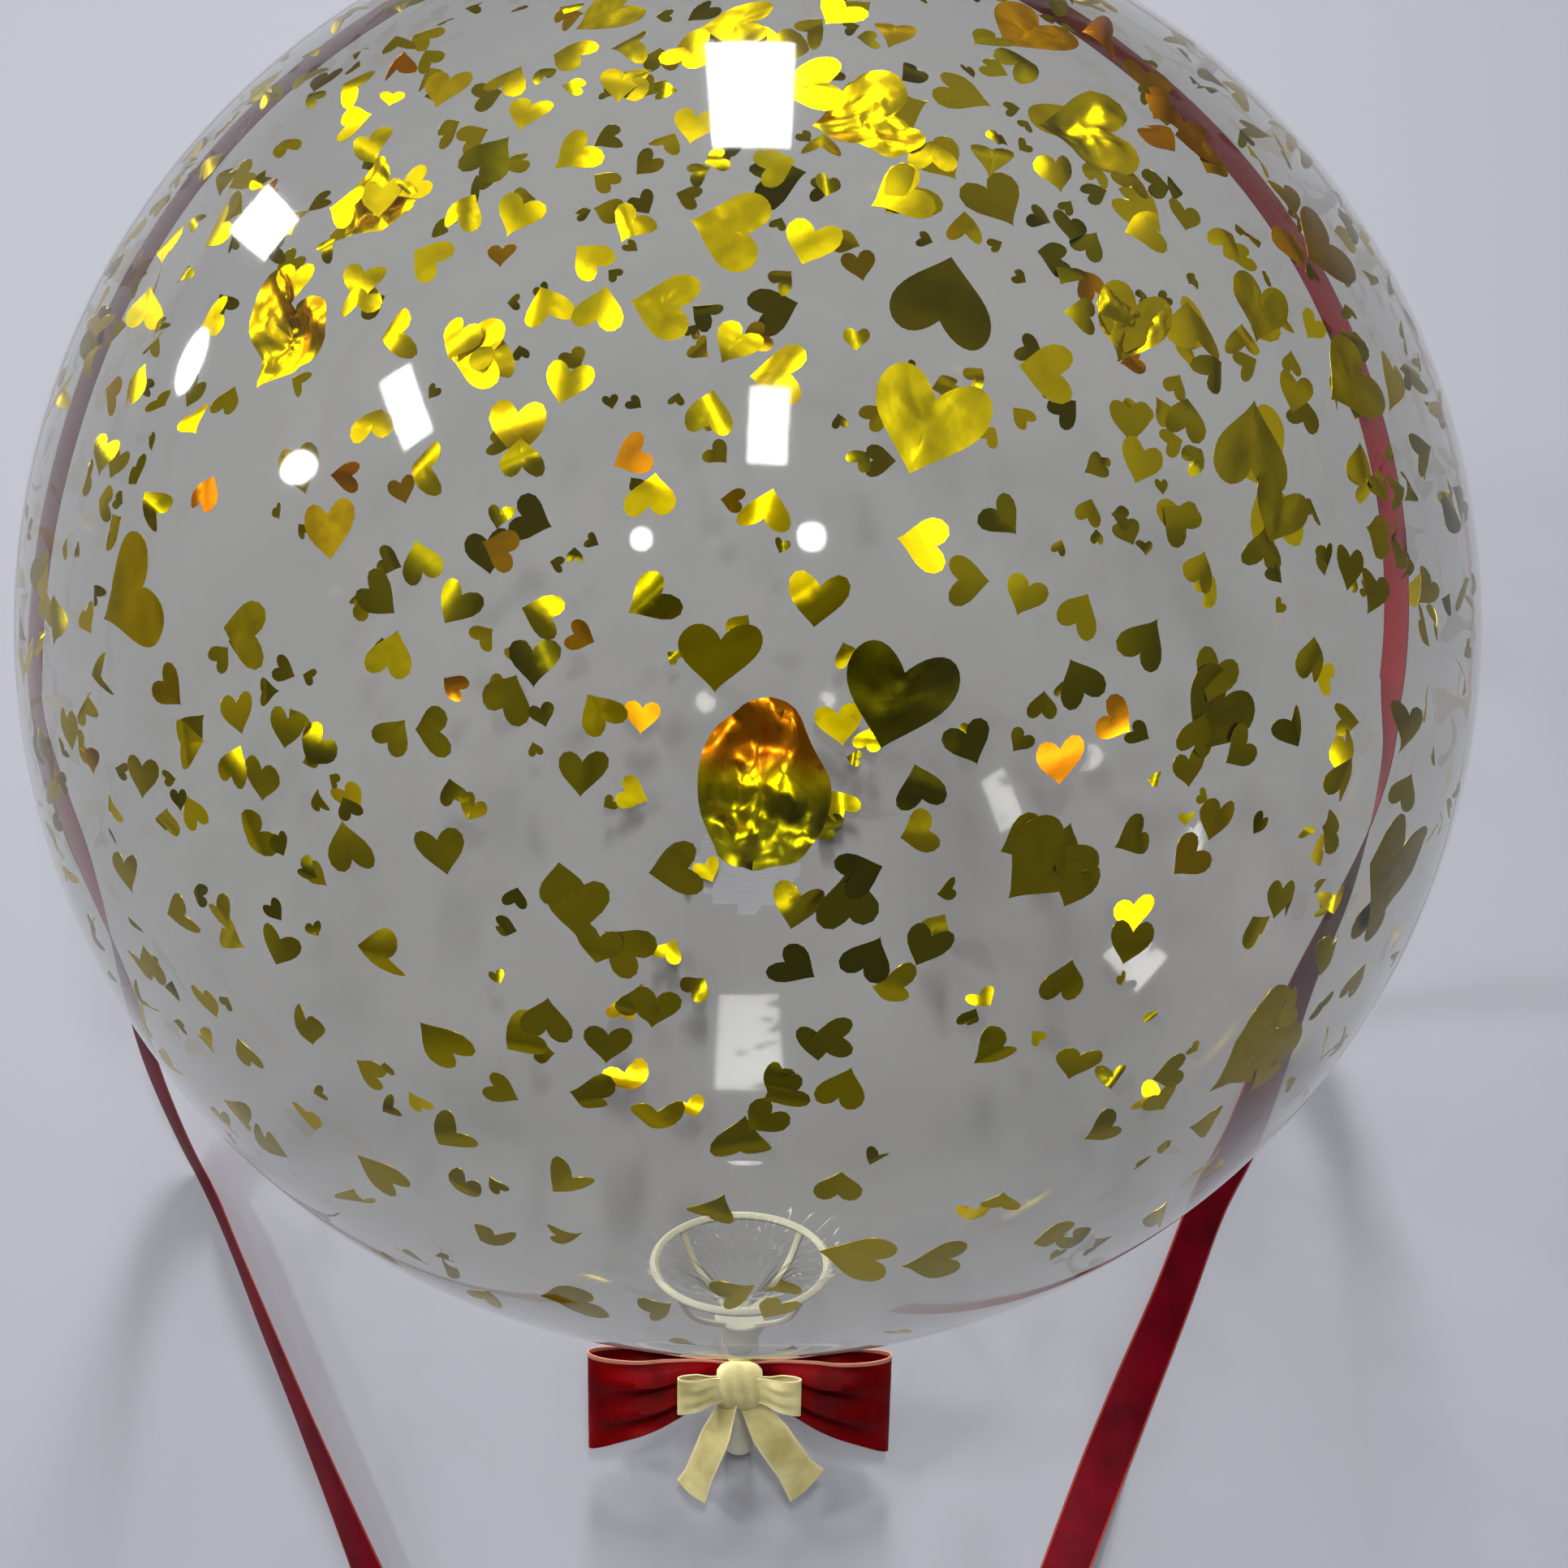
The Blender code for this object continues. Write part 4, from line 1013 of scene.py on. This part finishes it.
def loop_rows(half_length, depth, front, forward, top, bottom, rise, droop, fold, steps, wide):
    """A two-looped band, held from top to bottom in the middle, wider and full further out."""
    pinch_share = PINCH_HALF_DEPTH / (depth / 2)
    held = (KNOT_SIZE.x / 2 + CLEARANCE) / half_length
    rows = []
    for step in range(steps):
        turn = tau * (step + 0.5) / steps
        out = abs(cos(turn))
        flare = out ** 1.3
        freed = min(1.0, max(0.0, (out - held) / (LOOPS_FULL_FROM - held)))
        puff = pinch_share + (1.0 - pinch_share) * sin(freed * pi / 2) ** 2
        x = half_length * cos(turn)
        y = -front - forward * out - depth / 2 * sin(turn) * puff
        upper, lower = top + rise * flare, bottom - droop * flare
        loose = sin(out * pi) ** 1.5
        outward = -1.0 if sin(turn) > 0 else 1.0
        row = []
        for share in (j / wide for j in range(wide + 1)):
            gather = sin(share * tau * 2.5 + sin(turn) * 1.2)
            gather *= (0.25 + loose) * (1.0 - 0.65 * out)
            belly = (sin(share * pi) - 0.5) * 0.7 * loose * outward
            shift = fold * (gather + belly) * min(1.0, 0.1 + freed * 1.4)
            row.append(LEANING @ Vector((x, y + shift, upper + (lower - upper) * share)))
        rows.append(row)
    return rows


def red_bow(look):
    body = ribbon_mesh("red_satin_bow", loop_rows(**RED_LOOPS), BOW_CLOTH, closed=True)
    finish_piece(body, look, "red_satin", "red_bow")


# Each tail: its side, how far out and down it ends, and which way its width runs
GOLD_TAILS = (
    ("gold_tail_left", -1, 0.0125, 0.034, Vector((0.75, -0.66, 0.1))),
    ("gold_tail_right", 1, 0.02, 0.031, Vector((0.88, 0.0, 0.47))),
)
TAIL_HALF_WIDTH = 0.00625
TAIL_FORWARD = 0.005
TAIL_BELLY = 0.0015
TAIL_CURL = 0.0014
TAIL_SLANT = 0.003
TAIL_SLANT_FROM = 0.8
KNOT_STEPS = 40
KNOT_STEPS_ACROSS = 12
TIE_STEPS = 64
TIE_RADIUS = 0.006
TIE_HALF_WIDTH = 0.0015


def tail_rows(side, out, length, width_way):
    """A tail that widens below the knot, curls about its length and ends in a slanting cut."""
    root = Vector((side * 0.003, -KNOT_FRONT, 0.004 - KNOT_DROP - KNOT_SIZE.z / 2))
    tip = root + Vector((side * out, -TAIL_FORWARD, -length))
    middle = (root + tip) / 2 - Vector((0.0, TAIL_BELLY, 0.0))
    rows = []
    for point in through([root, middle, tip], 14):
        share = (point - root).length / (tip - root).length
        half = width_way.normalized() * TAIL_HALF_WIDTH * min(1.0, 0.55 + 1.2 * share)
        cut = max(0.0, share - TAIL_SLANT_FROM) / (1.0 - TAIL_SLANT_FROM)
        row = []
        for s in (j / 4 - 1.0 for j in range(9)):
            curl = TAIL_CURL * (cos(s * pi / 2 + 0.5) - 0.5) * (0.4 + share)
            slant = Vector((0.0, -curl, TAIL_SLANT * s * side * cut))
            row.append(LEANING @ (point + half * s + slant))
        rows.append(row)
    return rows


def knot_rows():
    """The wrap round the middle of the gold bow, creased along its length."""
    rows = []
    for i in range(KNOT_STEPS):
        turn = tau * i / KNOT_STEPS
        row = []
        for j in range(KNOT_STEPS_ACROSS + 1):
            s = 2.0 * j / KNOT_STEPS_ACROSS - 1.0
            waist = 1.0 - 0.16 * (1 - s * s)
            crease = 1.0 + 0.15 * cos(s * 10.0 + 2.6 * sin(turn))
            round_off = sqrt(max(0.0, 1.0 - (abs(s) ** 4) * 0.55))
            x = KNOT_SIZE.x / 2 * s * (0.96 + 0.04 * cos(turn))
            z = KNOT_SIZE.z / 2 * 0.96 * sin(turn) * round_off
            y = -KNOT_SIZE.y / 2 * 0.94 * cos(turn) * waist * crease * round_off
            row.append(LEANING @ Vector((x, -KNOT_FRONT + y, -KNOT_DROP + z)))
        rows.append(row)
    return rows


def tie_rows():
    """The narrow end of the gold ribbon, round the spigot and back into the knot."""
    rows = []
    for i in range(TIE_STEPS):
        turn = tau * i / TIE_STEPS
        stretch = max(0.0, -sin(turn)) ** 3 * (KNOT_FRONT - TIE_RADIUS - 0.002)
        x, y = TIE_RADIUS * cos(turn), TIE_RADIUS * sin(turn) - stretch
        rows.append([LEANING @ Vector((x, y, -TIE_DROP + TIE_HALF_WIDTH * s))
                     for s in (-1.0, -0.5, 0.0, 0.5, 1.0)])
    return rows


def join(name, parts):
    """One mesh from several, keeping their values across and along."""
    shape = bmesh.new()
    for part in parts:
        shape.from_mesh(part.data)
        bpy.data.objects.remove(part)
    mesh = bpy.data.meshes.new(name)
    shape.to_mesh(mesh)
    shape.free()
    return link_smooth(name, mesh)


def gold_bow(look):
    parts = [ribbon_mesh("gold_loops", loop_rows(**GOLD_LOOPS), BOW_CLOTH, closed=True)]
    parts += [ribbon_mesh(name, tail_rows(*tail), BOW_CLOTH) for name, *tail in GOLD_TAILS]
    parts.append(ribbon_mesh("gold_knot", knot_rows(), BOW_CLOTH, closed=True))
    parts.append(ribbon_mesh("gold_tie", tie_rows(), BOW_CLOTH, closed=True))
    body = join("gold_bow_ribbon", parts)
    finish_piece(body, look, "gold_satin", "gold_bow")


# Surroundings

FLOOR_COLOUR = (0.318, 0.325, 0.366)
FLOOR_REACH = 30.0
# Each highlight: pixel of the middle, width and height in pixels, and turn in degrees
HIGHLIGHTS = (
    ("lamp_top", 925, 112, 104, 132, 0), ("lamp_left", 325, 274, 56, 66, 45),
    ("lamp_left_small", 236, 444, 32, 42, -20), ("lamp_slanted", 500, 500, 44, 84, -35),
    ("lamp_low", 368, 575, 44, 40, 0), ("lamp_middle", 947, 524, 48, 96, 3),
    ("lamp_spot_left", 790, 665, 26, 28, 0), ("lamp_spot_right", 1000, 662, 34, 36, 0),
)
# Panels narrower than this in pixels are round spots
SPOT_BELOW = 43
PANEL_RADIANCE = 38.0
SPOT_RADIANCE = 34.0
LAMP_DISTANCE = 2.3
LAMP_SPREAD = radians(66.0)
SPREAD_GAIN = 0.23
# The sky's tones from in front to high behind, below the horizon, and high in front
WORLD_STRENGTH = 0.58
SKY_TONES = ((0.0, (0.3, 0.31, 0.34)), (0.5, (0.6, 0.6, 0.61)), (1.0, (0.72, 0.71, 0.69)))
SKY_BRIGHT_WAY = Vector((0.0, 0.75, 0.66))
HORIZON_TONE = (0.27, 0.28, 0.31)
DIM_TONE = (0.03, 0.03, 0.035)


def lamp_point(x, y):
    """Where a lamp stands that the film mirrors at a pixel."""
    hit = on_film(x, y, "near")
    out, ray = (hit - CENTRE).normalized(), (hit - EYE).normalized()
    return hit + (ray - out * 2.0 * ray.dot(out)).normalized() * LAMP_DISTANCE


def lamp_span(x, y, reach):
    """The size of a lamp that reaches so far to both sides of a pixel."""
    return lamp_point(x + reach.x, y + reach.y) - lamp_point(x - reach.x, y - reach.y)


def add_lamp(name, x, y, wide, high, turn):
    """A small soft panel, placed and turned so that the film mirrors it at the given pixel."""
    place = lamp_point(x, y)
    reach = Vector((cos(radians(turn)), sin(radians(turn)))) / 2
    width = lamp_span(x, y, reach * wide)
    height = lamp_span(x, y, Vector((-reach.y, reach.x)) * high)
    spot = min(wide, high) < SPOT_BELOW
    radiance = SPOT_RADIANCE if spot else PANEL_RADIANCE
    data = bpy.data.lights.new(name, "AREA")
    data.shape = "ELLIPSE" if spot else "RECTANGLE"
    data.size, data.size_y = width.length, height.length
    data.energy = radiance * pi * data.size * data.size_y * SPREAD_GAIN
    data.spread = LAMP_SPREAD
    made = link(name, data)
    back = (place - CENTRE).normalized()
    side = (width - back * width.dot(back)).normalized()
    axes = Matrix((side, back.cross(side), back)).transposed().to_4x4()
    made.matrix_world = Matrix.Translation(place) @ axes


def add_world():
    """Soft light from all round: brightest high behind the balloon, dim in front above."""
    world = bpy.data.worlds.new("studio")
    bpy.context.scene.world = world
    world.use_nodes = True
    tree = world.node_tree
    place = tree.nodes.new("ShaderNodeTexCoord").outputs["Generated"]
    colour = add_ramp(tree, facing_share(tree, place, SKY_BRIGHT_WAY, -0.1, 0.9), SKY_TONES)
    low = facing_share(tree, place, Vector((0.0, 0.0, -1.0)), -0.35, 0.0)
    colour = mix_colour(tree, low, colour, HORIZON_TONE)
    dim = facing_share(tree, place, EYE - CENTRE, 0.85, 0.965)
    colour = mix_colour(tree, dim, colour, DIM_TONE)
    tree.links.new(colour, tree.nodes["Background"].inputs["Color"])
    plain(tree.nodes["Background"], Strength=WORLD_STRENGTH)


def facing_share(tree, place, direction, low, high):
    """How far a direction of the sky lies towards the given one, from 0 to 1."""
    dot = tree.nodes.new("ShaderNodeVectorMath")
    dot.operation = "DOT_PRODUCT"
    tree.links.new(place, dot.inputs[0])
    dot.inputs[1].default_value = direction.normalized()
    span = tree.nodes.new("ShaderNodeMapRange")
    span.interpolation_type = "SMOOTHSTEP"
    plain(span, From_Min=low, From_Max=high)
    tree.links.new(dot.outputs["Value"], span.inputs["Value"])
    return span.outputs["Result"]


def add_floor():
    corners = [Vector((x, y, 0.0)) * FLOOR_REACH for x, y in ((-1, -1), (1, -1), (1, 1), (-1, 1))]
    body = add_mesh("floor", corners, [(0, 1, 2, 3)])
    made, tree, shader = new_material("floor_paint")
    darker = tuple(c * 0.96 for c in FLOOR_COLOUR)
    cloud = add_ramp(tree, add_noise(tree, 1.2, 2.0), ((0.3, darker), (0.7, FLOOR_COLOUR)))
    tree.links.new(cloud, shader.inputs["Base Color"])
    plain(shader, Roughness=0.75)
    body.data.materials.append(made)


def build():
    add_camera()
    bpy.context.scene.view_settings.view_transform = "Standard"
    add_floor()
    add_world()
    for row in HIGHLIGHTS:
        add_lamp(*row)
    red = satin("red_satin", RIBBON_RED, specular=0.05, back=RIBBON_INNER_PAINTED_LIGHT)
    bow_red = satin("bow_satin", BOW_RED, specular=0.05)
    gold = satin("gold_satin", BOW_GOLD, specular=0.3)
    balloon_film(clear_film())
    foil_hearts(gold_foil())
    red_ribbon(red)
    red_bow(bow_red)
    gold_bow(gold)
    holder_cup(ivory_plastic())


build()
